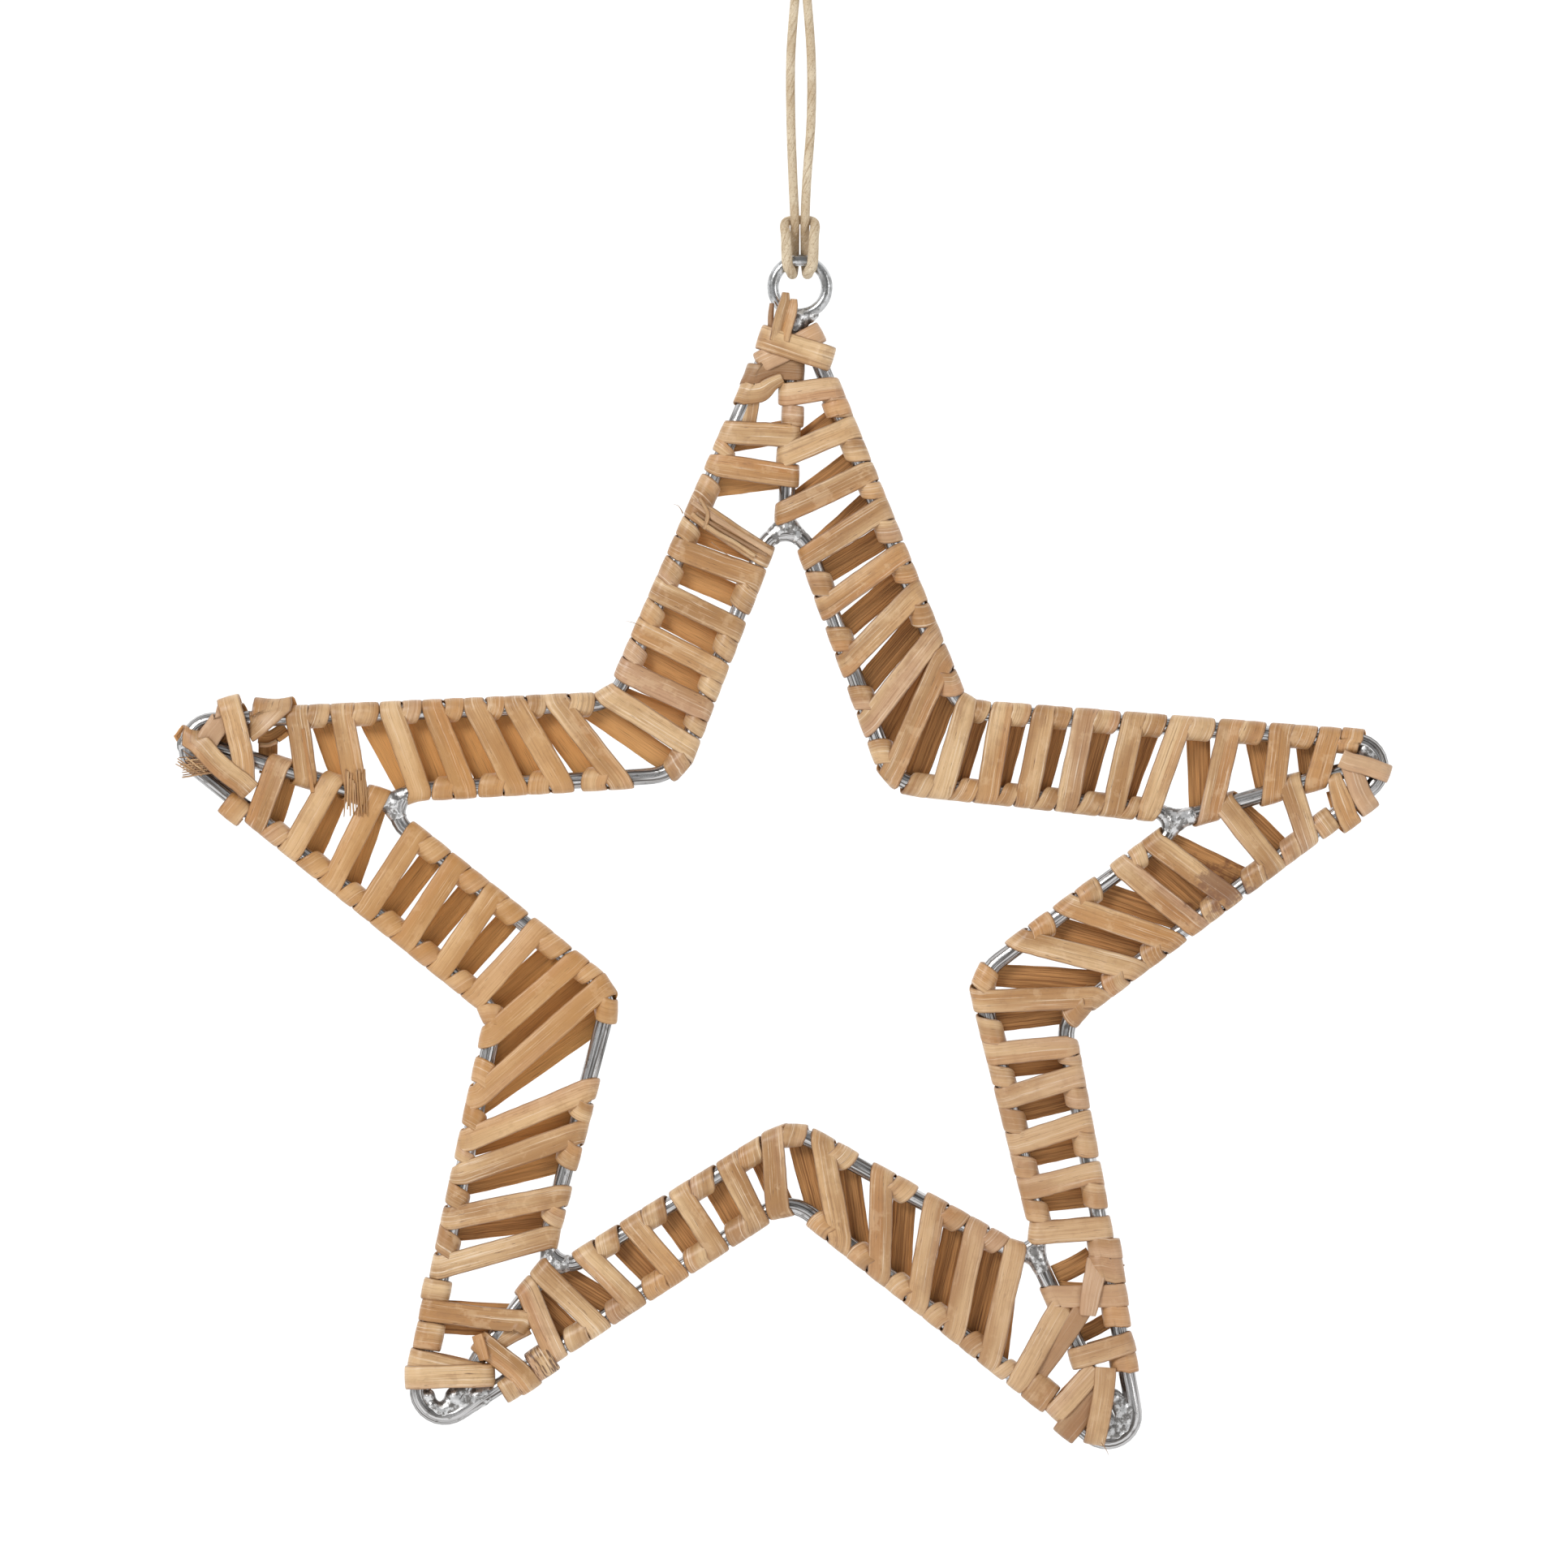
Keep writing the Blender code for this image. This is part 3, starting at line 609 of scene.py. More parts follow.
def wire_finish(length):
    """Drawn and zinc-plated wire, streaked along its length; its dark streaks and spots are partly its
    own marks and partly painted reflection, browned like the rattan.
    """
    made = Finish("plated_wire")
    along, around = made.mapped("UVMap")
    along = along * length
    streaks = made.noise(made.vector(along * 60.0, around * 22.0, 0.0), 1.0, 2.0, 0.6)
    spots = made.noise(made.vector(along * 500.0, around * 8.0, 3.0), 1.0, 3.0, 0.6)
    # Dark streaks and spots: partly the wire's own marks and partly a painted reflection, browned like
    # the rattan
    base = made.layered(tone(206, 205, 205), [
        (streaks, 0.44, 0.59, 0.86, (70, 62, 54)),
        (spots, 0.56, 0.72, 0.7, (72, 63, 54)),
    ])
    rough = 0.16 + streaks * 0.26
    height = streaks * 0.6 + spots * 0.4
    bump = made.bump(height, 0.00012, 0.8)
    return made.surface(base=base, roughness=rough, metallic=1.0, normal=bump)


def ring_finish():
    """The ring's plated wire, brighter and smoother than the star's, with a few stains."""
    made = Finish("plated_ring")
    place = made.place()
    cloud = made.noise(place, 330.0, 3.0, 0.6)
    fine = made.noise(place, 1500.0, 2.0, 0.6)
    base = made.layered(tone(206, 207, 208), [
        (cloud, 0.50, 0.64, 0.6, (110, 108, 104)),
        (fine, 0.60, 0.72, 0.5, (92, 88, 84)),
    ])
    bump = made.bump(cloud * 0.5 + fine * 0.5, 0.00010, 0.6)
    return made.surface(base=base, roughness=0.18 + cloud * 0.16, metallic=1.0, normal=bump)


def weld_finish():
    """Plated weld, mottled and pitted."""
    made = Finish("plated_weld")
    place = made.place()
    mottle = made.noise(place, 800.0, 3.0, 0.62)
    pits = made.noise(place, 2300.0, 2.0, 0.6)
    base = made.layered(tone(222, 222, 222), [
        (mottle, 0.44, 0.57, 0.85, (108, 104, 100)),
        (pits, 0.58, 0.70, 0.6, (76, 72, 68)),
    ])
    rough = 0.24 + mottle * 0.24
    bump = made.bump(mottle * 0.6 + pits * 0.4, 0.00012, 0.8)
    return made.surface(base=base, roughness=rough, metallic=0.8, normal=bump)


def cord_finish():
    """Soft pale cotton, its plies lying nearly along it."""
    made = Finish("cotton_cord")
    along, around = made.mapped("run")
    turned = (along * 90.0 + around) * (2 * math.pi)
    ring_x, ring_y = made.maths("COSINE", turned), made.maths("SINE", turned)
    plies = made.noise(made.vector(along * 120.0, ring_x * 2.6, ring_y * 2.6), 1.0, 2.0, 0.6)
    fluff = made.noise(made.vector(along * 1700.0, ring_x * 3.4, ring_y * 3.4), 1.0, 3.0, 0.7)
    patches = made.noise(made.vector(along * 130.0, 0.0, 5.0), 1.0, 2.0, 0.5)
    flecks = made.noise(made.place(), 2600.0, 3.0, 0.7)
    base = made.layered(tone(224, 208, 180), [
        (patches, 0.35, 0.65, 1.0, (200, 178, 146)),
        # Painted shade: browner inside the hitch
        (made.away(HITCH_SHADE), 0.0055, 0.0015, 0.55, (150, 116, 74)),
        (plies, 0.50, 0.66, 0.60, (164, 134, 98)),
        (flecks, 0.52, 0.64, 0.55, (158, 126, 88)),
        (fluff, 0.5, 0.72, 0.40, (240, 230, 212)),
    ])
    bump = made.bump(plies * -1.0 + fluff * 0.6, 0.00022, 0.9)
    return made.surface(base=base, roughness=0.78, normal=bump)


# Shapes


def polar(reach, degrees):
    """A point of the star's plane, its angle clockwise from straight up."""
    turn = math.radians(degrees) + TILT
    return STAR_CENTRE + Vector((math.sin(turn), 0.0, math.cos(turn))) * reach


def star_points(reach, offsets, first_degrees):
    step = 360.0 / len(offsets)
    return [
        polar(reach + more, first_degrees + step * at + degrees)
        for at, (more, degrees) in enumerate(offsets)
    ]


def arc_at(before, corner, after, bend, steps):
    """The bend of a wire at a corner, as points from one tangent point to the other."""
    back = (before - corner).normalized()
    on = (after - corner).normalized()
    half = back.angle(on) / 2
    reach = bend / math.tan(half)
    centre = corner + (back + on).normalized() * (bend / math.sin(half))
    start = corner + back * reach - centre
    end = corner + on * reach - centre
    sweep = start.angle(end)
    side = start.cross(end).normalized().cross(start)
    return [
        centre + start * math.cos(sweep * i / steps) + side * math.sin(sweep * i / steps)
        for i in range(steps + 1)
    ]


def lengths(route):
    """The distance along a route at each of its points."""
    run = [0.0]
    for a, b in zip(route, route[1:]):
        run.append(run[-1] + (b - a).length)
    return run


def evenly(route, spacing):
    """The same route with points at an even spacing."""
    run = lengths(route)
    count = max(2, round(run[-1] / spacing))
    found = []
    i = 0
    for k in range(count + 1):
        place = run[-1] * k / count
        while i < len(route) - 2 and run[i + 1] < place:
            i += 1
        stretch = run[i + 1] - run[i]
        found.append(route[i].lerp(route[i + 1], (place - run[i]) / stretch))
    return found


class Rail:
    """A run of wire that strips are wound on, read by the distance along it from its zero. On a
    single one they take no extra turn."""

    def __init__(self, route, zero=0.0, single=False):
        self.route = route
        self.run = lengths(route)
        self.zero = zero
        self.length = self.run[-1]
        self.single = single

    def at(self, place):
        """The point, the direction along the wire and the direction out of the star."""
        run = place + self.zero
        i = max([i for i, start in enumerate(self.run[:-1]) if start <= run], default=0)
        a, b = self.route[i], self.route[i + 1]
        along = (b - a).normalized()
        return a + along * (run - self.run[i]), along, along.cross(DEPTH).normalized()

    def wrap(self, place, turn, reach=WRAP_REACH):
        """A point of a strip round the wire, and its outward direction. Turn is in degrees: -90 is
        the front, 0 the side away from the star's middle, 90 the back."""
        point, _, out = self.at(place)
        level = math.radians(turn)
        normal = out * math.cos(level) + DEPTH * math.sin(level)
        return point + normal * reach, normal


def ripple(seed, waves=5, shortest=0.006, longest=0.05):
    """A smooth wander along a length, within about one either way."""
    pick = random.Random(seed)
    parts = [
        (2 * math.pi / pick.uniform(shortest, longest), pick.uniform(0, 2 * math.pi))
        for _ in range(waves)
    ]
    return lambda run: sum(math.sin(rate * run + start) for rate, start in parts) / waves


def ribbon(name, samples, finish, seed, thickness=STRIP_THICKNESS, shade=PLAIN):
    """A flat strip through samples, each a point, the direction it faces and its width, and where
    the strip slants over a wire, how far its cross lines lean along it."""
    widen, slide, thicken = ripple(seed), ripple(seed + 1), ripple(seed + 2)
    left_edge, right_edge = ripple(seed + 3, 6, 0.001, 0.006), ripple(seed + 4, 6, 0.001, 0.006)
    run = [r + seed * 0.7 for r in lengths([s[0] for s in samples])]
    points, faces, marks = [], [], []
    sides = len(SECTION)
    last = len(samples) - 1
    for i, (place, facing, width, *skew) in enumerate(samples):
        along = (samples[min(i + 1, last)][0] - samples[max(i - 1, 0)][0]).normalized()
        across = along.cross(facing).normalized()
        up = across.cross(along).normalized()
        wide = width * (1 + WIDTH_WANDER * widen(run[i]))
        thick = thickness * (1 + THICKNESS_WANDER * thicken(run[i]))
        if skew:
            across += along * skew[0]
        middle = place + across * (LINE_WANDER * slide(run[i]))
        for share, height in SECTION:
            edge = (left_edge if share < 0 else right_edge)(run[i]) * EDGE_WANDER
            points.append(middle + across * (share * wide + edge) + up * (height * thick))
    for i in range(last):
        for j in range(sides):
            k = (j + 1) % sides
            faces.append((i * sides + j, i * sides + k, (i + 1) * sides + k, (i + 1) * sides + j))
            base = SHADE_STEP * shade + (OUTER_SIDE if j < OUTER_FACES else INNER_SIDE)
            a, b = base + SECTION[j][0], base + SECTION[k][0]
            marks.append([(run[i], a), (run[i], b), (run[i + 1], b), (run[i + 1], a)])
    cut = [SHADE_STEP * shade + INNER_SIDE + share for share, _ in SECTION]
    faces.append(tuple(reversed(range(sides))))
    marks.append([(run[0], mark) for mark in reversed(cut)])
    faces.append(tuple(range(last * sides, (last + 1) * sides)))
    marks.append([(run[last], mark) for mark in cut])
    return mesh_piece(name, points, faces, marks, finish)


def mesh_piece(name, points, faces, marks, finish):
    mesh = bpy.data.meshes.new(name)
    mesh.from_pydata([tuple(p) for p in points], [], faces)
    layer = mesh.uv_layers.new(name="run")
    flat = [value for face in marks for mark in face for value in mark]
    layer.data.foreach_set("uv", flat)
    mesh.polygons.foreach_set("use_smooth", [True] * len(mesh.polygons))
    mesh.materials.append(finish)
    made = bpy.data.objects.new(name, mesh)
    bpy.context.scene.collection.objects.link(made)
    return made


def joined(name, pieces):
    """Several pieces made one."""
    bpy.ops.object.select_all(action="DESELECT")
    for piece in pieces:
        piece.select_set(True)
    bpy.context.view_layer.objects.active = pieces[0]
    bpy.ops.object.join()
    made = bpy.context.object
    made.name = name
    made.data.name = name
    made.select_set(False)
    return made


def tube(name, route, diameter, finish, sides=10, taper=None):
    """A round strand along a route, its texture map running along and around it."""
    run = lengths(route)
    rings = []
    side = None
    last = len(route) - 1
    for i, place in enumerate(route):
        along = (route[min(i + 1, last)] - route[max(i - 1, 0)]).normalized()
        if side is None:
            side = along.cross(DEPTH if abs(along.y) < 0.9 else Vector((1.0, 0.0, 0.0)))
        side = (side - along * side.dot(along)).normalized()
        up = side.cross(along)
        radius = diameter / 2 * (taper(run[i] / run[-1]) if taper else 1.0)
        rings.append([
            place
            + side * (radius * math.cos(2 * math.pi * j / sides))
            + up * (radius * math.sin(2 * math.pi * j / sides))
            for j in range(sides)
        ])
    points = [p for ring in rings for p in ring]
    faces, marks = [], []
    for i in range(last):
        for j in range(sides):
            k = (j + 1) % sides
            faces.append((i * sides + k, i * sides + j, (i + 1) * sides + j, (i + 1) * sides + k))
            a, b = j / sides, (j + 1) / sides
            marks.append([(run[i], b), (run[i], a), (run[i + 1], a), (run[i + 1], b)])
    faces.append(tuple(range(sides)))
    marks.append([(run[0], j / sides) for j in range(sides)])
    faces.append(tuple(reversed(range(last * sides, (last + 1) * sides))))
    marks.append([(run[last], j / sides) for j in reversed(range(sides))])
    return mesh_piece(name, points, faces, marks, finish)


def smooth_route(points, steps):
    """Points of a smooth curve through the route's own points, so many to each stretch."""
    route = []
    for i in range(len(points) - 1):
        before = points[max(i - 1, 0)]
        a, b = points[i], points[i + 1]
        after = points[min(i + 2, len(points) - 1)]
        for step in range(steps):
            t = step / steps
            bend = 2 * before - 5 * a + 4 * b - after
            twist = 3 * a - before - 3 * b + after
            route.append((2 * a + (b - before) * t + bend * t * t + twist * t * t * t) / 2)
    return route + [points[-1]]


# Cord


def cord_route():
    """The doubled cord hitched on the ring, as in the frame."""
    ring_radius = (RING_OUTER_DIAMETER - RING_WIRE_DIAMETER) / 2
    lay = (RING_WIRE_DIAMETER + CORD_DIAMETER) / 2 + GAP
    beside = CORD_DIAMETER * 0.57
    bar = Vector((RING_CENTRE.x, CORD_DIAMETER * 0.85, RING_CENTRE.z + ring_radius + HITCH_HEIGHT))

    def around(turn, degrees, hand):
        level = math.radians(degrees)
        reach = ring_radius + lay * math.cos(level)
        aside = math.radians(turn) * hand
        off = Vector((math.sin(aside) * reach, lay * math.sin(level), math.cos(aside) * reach))
        return RING_CENTRE + off

    def strand(hand):
        def off(across, depth, above):
            return bar + Vector((hand * across, depth - bar.y, above))

        knot_end = Vector((hand * beside * 1.1, 0.0, -KNOT_HEIGHT - GAP))
        widest = Vector((hand * CORD_SPREAD / 2, 0.0, -CORD_WIDEST_DROP))
        wide_leg = beside + CORD_DIAMETER * 1.1
        down = [knot_end, (knot_end + widest) / 2 + Vector((hand * CORD_DIAMETER / 4, 0.0, 0.0)), widest]
        down.append(off(beside * 1.35, 0.0, HITCH_HEIGHT))
        down.append(off(beside, -CORD_DIAMETER * 0.35, 0.0))
        down.append(off(beside, lay * 0.6, -HITCH_HEIGHT * 0.55))
        for turn, degrees in ((12, 90), (21, 135), (30, 180), (30, 225), (28, 270)):
            down.append(around(turn, degrees, hand))
        down.append(off(wide_leg * 0.92, -lay, -HITCH_HEIGHT * 0.45))
        down.append(off(wide_leg, -lay * 0.45, -HITCH_HEIGHT * 0.17))
        down.append(off(wide_leg * 0.86, bar.y * 0.55, -CORD_DIAMETER * 0.2))
        return down + [off(beside, bar.y, 0.0)]

    return strand(-1) + [bar] + strand(1)[::-1]


def hitch_swell(share):
    """The cord lies looser and fuller in the two loops of its hitch."""
    off = abs(share - 0.5)
    return 1.0 + HITCH_SWELL * max(0.0, 1.0 - abs(off - HITCH_SHARE) / HITCH_REACH)


def make_cord(finish):
    route = smooth_route(cord_route(), 8)
    cord = tube("cord", route, CORD_DIAMETER, finish, 16, hitch_swell)
    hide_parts("hanging_cord")
    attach(cord, "root")
    return cord, route


def make_knot(finish):
    """An overhand stopper: one cord wound round both ends, with the two short tails above."""
    middle = [Vector((0, 0, z * MM)) for z in (-5.9, -4.5, -3.0, -1.6, -0.7)]
    core = tube("knot_core", middle, 0.0030, finish, 14)
    coils = []
    rounds = 3.0
    steps = 72
    for i in range(steps + 1):
        share = i / steps
        turn = 2 * math.pi * rounds * share
        bulge = math.sin(math.pi * (0.12 + 0.76 * share))
        reach = (0.9 + 0.9 * bulge) * MM
        height = (-5.2 + 4.0 * share) * MM
        coils.append(Vector((math.cos(turn) * reach, math.sin(turn) * reach, height)))
    coil = tube("knot_coil", coils, 0.0016, finish, 12)
    tails = []
    for hand in (-1, 1):
        tail = [
            Vector((hand * 0.7, hand * 0.1, -2.2)) * MM,
            Vector((hand * 0.9, hand * 0.2, -1.2)) * MM,
            Vector((hand * 1.0, hand * 0.2, -0.2)) * MM,
        ]
        tails.append(tube("knot_tail", smooth_route(tail, 5), 0.0015, finish, 12))
    knot = joined("knot", [core, coil] + tails)
    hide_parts("cord_knot")
    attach(knot, "root")
    return knot


# Wires and welds


def star_wire(tips, corners, tip_bends):
    """The bends of a star's wire: at each point, then at the corner after it."""
    bends = []
    for i, tip in enumerate(tips):
        bend = arc_at(corners[i - 1], tip, corners[i], tip_bends[i], 16)
        turn = arc_at(tip, corners[i], tips[(i + 1) % len(tips)], CORNER_BEND, 8)
        bends.append((bend, turn))
    return bends


def bend_top(bend):
    return bend[len(bend) // 2]


def round_wire(name, route, is_loop, finish_for):
    """A round wire along a route, from a curve given its thickness."""
    bpy.ops.curve.primitive_nurbs_path_add()
    wire = bpy.context.object
    wire.data.splines.clear()
    spline = wire.data.splines.new("POLY")
    spline.points.add(len(route) - 1)
    for point, place in zip(spline.points, route):
        point.co = (*place, 1.0)
    spline.use_cyclic_u = is_loop
    wire.data.twist_mode = "MINIMUM"
    wire.data.bevel_depth = WIRE_DIAMETER / 2
    wire.data.bevel_resolution = 6
    wire.data.use_fill_caps = not is_loop
    bpy.ops.object.convert(target="MESH")
    wire = bpy.context.object
    wire.name = name
    wire.data.name = name
    wire.data.materials.clear()
    wire.data.materials.append(finish_for(lengths(route)[-1]))
    bpy.ops.object.shade_smooth_by_angle(angle=math.radians(50))
    wire.select_set(False)
    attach(wire, "root")
    return wire


def make_star(name, bends, finish_for):
    route = [p for bend, turn in bends for p in bend + turn]
    route = evenly(route + [route[0]], WIRE_SPACING)[:-1]
    star = round_wire("wire_" + name, route, True, finish_for)
    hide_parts(name)
    return star


def rod(start, end, radius, end_radius=None):
    """A plain round rod between two points, as a blank for a welded piece."""
    run = end - start
    bpy.ops.mesh.primitive_cone_add(
        vertices=24, radius1=radius, radius2=end_radius or radius, depth=run.length
    )
    made = bpy.context.object
    made.matrix_world = run.to_track_quat("Z", "Y").to_matrix().to_4x4()
    made.location = (start + end) / 2
    bpy.ops.object.transform_apply(location=True, rotation=True, scale=True)
    return made


def lump(place, radii):
    """A rounded lump of weld, with a radius along x, y and z."""
    bpy.ops.mesh.primitive_uv_sphere_add(segments=24, ring_count=14, radius=1.0, location=place)
    made = bpy.context.object
    made.scale = radii
    bpy.ops.object.transform_apply(location=True, rotation=True, scale=True)
    return made


def fused(name, blanks, voxel, rounds, roughen, finish, coarseness):
    """Blanks melted into one weldment: remeshed as one skin, smoothed and slightly roughened."""
    made = joined(name, blanks)
    made.select_set(True)
    bpy.context.view_layer.objects.active = made
    skin = made.modifiers.new("skin", "REMESH")
    skin.mode = "VOXEL"
    skin.voxel_size = voxel
    bpy.ops.object.modifier_apply(modifier="skin")
    soften = made.modifiers.new("soften", "SMOOTH")
    soften.factor = 0.5
    soften.iterations = rounds
    bpy.ops.object.modifier_apply(modifier="soften")
    grain = bpy.data.textures.new(name + "_grain", "CLOUDS")
    grain.noise_scale = 0.0011 + 0.0001 * coarseness
    rough = made.modifiers.new("rough", "DISPLACE")
    rough.texture = grain
    rough.texture_coords = "LOCAL"
    rough.strength = roughen
    rough.mid_level = 0.5
    bpy.ops.object.modifier_apply(modifier="rough")
    bpy.ops.object.shade_smooth()
    made.data.materials.clear()
    made.data.materials.append(finish)
    made.select_set(False)
    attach(made, "root")
    return made


def make_strut(point, crotch, tip, finish_for):
    """A wire from the bend of the inner star to the bend of the outer one."""
    along = (tip - crotch).normalized()
    end = tip - along * STRUT_INSET
    bend = crotch.lerp(tip, 0.60)
    if point == BENT_STRUT:
        end += STRUT_END_SHIFT
        bend += STRUT_BEND_SHIFT
    route = smooth_route([crotch + along * STRUT_INSET, bend, bend.lerp(end, 0.6), end], 8)
    route = evenly(route, WIRE_SPACING)
    strut = round_wire("strut_wire_" + point, route, False, finish_for)
    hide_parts("strut_" + point)
    return strut


def make_web(point, crotch, tip, bend, finish):
    """The web of weld between a strut and the bend that it stands on."""
    radius = WIRE_DIAMETER / 2
    along = (tip - crotch).normalized()
    neck = crotch + along * 0.0052
    blanks = [
        rod(crotch, neck, radius * 1.35, radius * 1.06),
        lump(crotch + along * 0.0012, (radius * 1.5, radius * 1.12, radius * 1.5)),
    ]
    for side in (bend[3], bend[-4]):
        foot = side.lerp(crotch, 0.12)
        blanks.append(rod(crotch + along * 0.0030, foot, radius * 0.74, radius * 1.02))
        blanks.append(rod(crotch + along * 0.0012, foot, radius * 0.98, radius * 1.06))
    return fused("web_" + point, blanks, WELD_VOXEL, 14, 0.00020, finish, 1)


def make_ring(tip_top, finish):
    centreline = (RING_OUTER_DIAMETER - RING_WIRE_DIAMETER) / 2
    bpy.ops.mesh.primitive_torus_add(
        major_radius=centreline,
        minor_radius=RING_WIRE_DIAMETER / 2,
        major_segments=96,
        minor_segments=24,
        location=RING_CENTRE,
        rotation=(math.radians(90), 0.0, 0.0),
    )
    bpy.ops.object.transform_apply(location=True, rotation=True, scale=True)
    ring = bpy.context.object
    foot = tip_top + Vector((0.0, 0.0, WIRE_DIAMETER / 2 - 0.0002))
    bottom = RING_CENTRE - Vector((0.0, 0.0, centreline))
    ring.data.materials.append(ring_finish())
    bpy.ops.object.shade_smooth()
    blanks = [
        lump(bottom.lerp(foot, 0.05) + Vector((0.0012, 0.0, 0.0)), (0.0024, 0.0013, 0.0012)),
        lump(bottom.lerp(foot, 0.20) + Vector((0.0003, 0.0, 0.0)), (0.0030, 0.0016, 0.0015)),
        lump(bottom.lerp(foot, 0.60), (0.0025, 0.0018, 0.0016)),
        lump(foot, (0.0024, 0.0018, 0.0014)),
        rod(bottom, foot, 0.0019, 0.0022),
    ]
    weld = fused("ring_weld", blanks, RING_WELD_VOXEL, 8, 0.00012, finish, 3)
    made = joined("ring_welded", [ring, weld])
    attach(made, "root")
    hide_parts("hanging_ring")
    return made


def make_fill(point, lumps, finish):
    """Weld run into a point between the wires, as flat overlapping lumps."""
    margin = 0.7 * MM
    depth = 1.6 * MM
    blanks = []
    for x, z, radius in lumps:
        reach = radius * MM + margin
        blanks.append(lump(Vector((x, 0.0, z)) * MM, (reach, depth, reach)))
    return fused("fill_" + point, blanks, WELD_VOXEL, 16, 0.00010, finish, 2)


# Winding


def eased_place(keys, turn):
    """The place along a wire at a turn round it, smooth through keys of (turn, place, slope)."""
    for (t0, p0, m0), (t1, p1, m1) in zip(keys, keys[1:]):
        if turn <= t1 + 1e-6:
            width = math.radians(t1 - t0)
            t = (turn - t0) / (t1 - t0)
            return (
                (2 * t**3 - 3 * t**2 + 1) * p0
                + (t**3 - 2 * t**2 + t) * width * m0
                + (3 * t**2 - 2 * t**3) * p1
                + (t**3 - t**2) * width * m1
            )
    return keys[-1][1]


def slope(rail, place, over):
    """How far a strip moves along a wire for each radian round it, to leave or meet it slanting."""
    _, along, out = rail.at(place)
    lean = over.dot(along) / max(abs(over.dot(out)), 1e-6)
    return WRAP_REACH * max(-MOST_LEAN, min(MOST_LEAN, lean))


def turns(rail, keys, widths):
    """Samples round a wire. Widths are the strip's width at the first and last turn and between."""
    first, last = keys[0][0], keys[-1][0]
    count = max(2, round(math.radians(last - first) / WRAP_STEP))
    found = []
    for i in range(count + 1):
        share = i / count
        turn = first + (last - first) * share
        point, normal = rail.wrap(eased_place(keys, turn), turn)
        middle = math.sin(math.pi * share) ** 0.7 if 0 < share < 1 else 0.0
        width = widths[0] + (widths[1] - widths[0]) * middle
        found.append((point, normal, width))
    return found


def crossing(start, end, facing, width, bow):
    """Samples of a strip laid straight from one wire to the other."""
    count = max(2, round((end - start).length / PASS_STEP))
    return [
        (
            start.lerp(end, i / count) + facing * (bow * math.sin(math.pi * i / count)),
            facing,
            width,
        )
        for i in range(1, count)
    ]


def extra_turn(this, beside):
    """The width of an extra turn between a strip's end and its neighbour's, and the step to it."""
    rail, place = this
    other_rail, other_place = beside
    if rail is not other_rail or rail.single:
        return 0.0, 0.0
    room = abs(other_place - place) - STRIP_WIDTH
    if room < LEAST_ROOM:
        return 0.0, 0.0
    width = min(STRIP_WIDTH * EXTRA_TURN_WIDTH, room - TURN_CLEARANCE)
    return width, (STRIP_WIDTH + width + TURN_CLEARANCE) / 2


def keys_in(fronts, backs, k, over):
    """A strip's keys round the inner wire, from the back to the front, and its width there."""
    near, near_at = fronts[k][:2]
    lean = slope(near, near_at, over)
    if k == 0:
        return [(90, near_at - STRIP_START, 0.0), (270, near_at, lean)], STRIP_WIDTH
    width, step = extra_turn((near, near_at), fronts[k - 1][:2])
    arrive = near_at - step + backs[k - 1][1] * MM
    behind = near.wrap(arrive, 90)[0] - far_back_of(fronts, backs, k - 1)
    keys = [(90, arrive, slope(near, arrive, behind))]
    if not width:
        return keys + [(270, near_at, lean)], STRIP_WIDTH
    keys.append((270, near_at - step * EXTRA_TURN_SHARE, step / 2 / math.pi))
    return keys + [(630, near_at, lean)], width


def keys_out(fronts, backs, k, over):
    """The same round the outer wire, from the front to the back, and the way on behind."""
    near, near_at, far, far_at = fronts[k]
    keys = [(-90, far_at, slope(far, far_at, over))]
    if k == len(fronts) - 1:
        behind = near.wrap(near_at, 90)[0] - far.wrap(far_at, 90)[0]
        return keys + [(90, far_at, slope(far, far_at, behind))], STRIP_WIDTH, behind
    width, step = extra_turn((far, far_at), fronts[k + 1][2:])
    leave = far_at + step + backs[k][0] * MM
    behind = near_back_of(fronts, backs, k + 1) - far.wrap(leave, 90)[0]
    lean = slope(far, leave, behind)
    if not width:
        return keys + [(90, leave, lean)], STRIP_WIDTH, behind
    keys.append((270, far_at + step * EXTRA_TURN_SHARE, step / 2 / math.pi))
    return keys + [(450, leave, lean)], width, behind


def wound(name, fronts, backs, finish, seed):
    """One strip wound round two rails. Each front is (inner rail, place, outer rail, place). Backs
    are the shifts of the parts behind, on the outer rail and the inner one."""
    samples = []
    for k, (near, near_at, far, far_at) in enumerate(fronts):
        near_front, far_front = near.wrap(near_at, -90)[0], far.wrap(far_at, -90)[0]
        over = far_front - near_front
        keys, width = keys_in(fronts, backs, k, over)
        samples += turns(near, keys, (STRIP_WIDTH, width))
        samples += crossing(near_front, far_front, FRONT, STRIP_WIDTH, STRIP_BOW)
        keys, width, behind = keys_out(fronts, backs, k, over)
        samples += turns(far, keys, (STRIP_WIDTH, width))
        start = far.wrap(keys[-1][1], 90)[0]
        samples += crossing(start, start + behind, DEPTH, STRIP_WIDTH, STRIP_BOW)
    return ribbon(name, samples, finish, seed)


def far_back_of(fronts, backs, k):
    """Where a strip leaves the back of the outer wire, after its extra turn."""
    _, _, far, far_at = fronts[k]
    step = extra_turn((far, far_at), fronts[k + 1][2:])[1]
    return far.wrap(far_at + step + backs[k][0] * MM, 90)[0]


def near_back_of(fronts, backs, k):
    """Where a strip meets the back of the inner wire, before its extra turn."""
    near, near_at, _, _ = fronts[k]
    step = extra_turn((near, near_at), fronts[k - 1][:2])[1]
    return near.wrap(near_at - step + backs[k - 1][1] * MM, 90)[0]


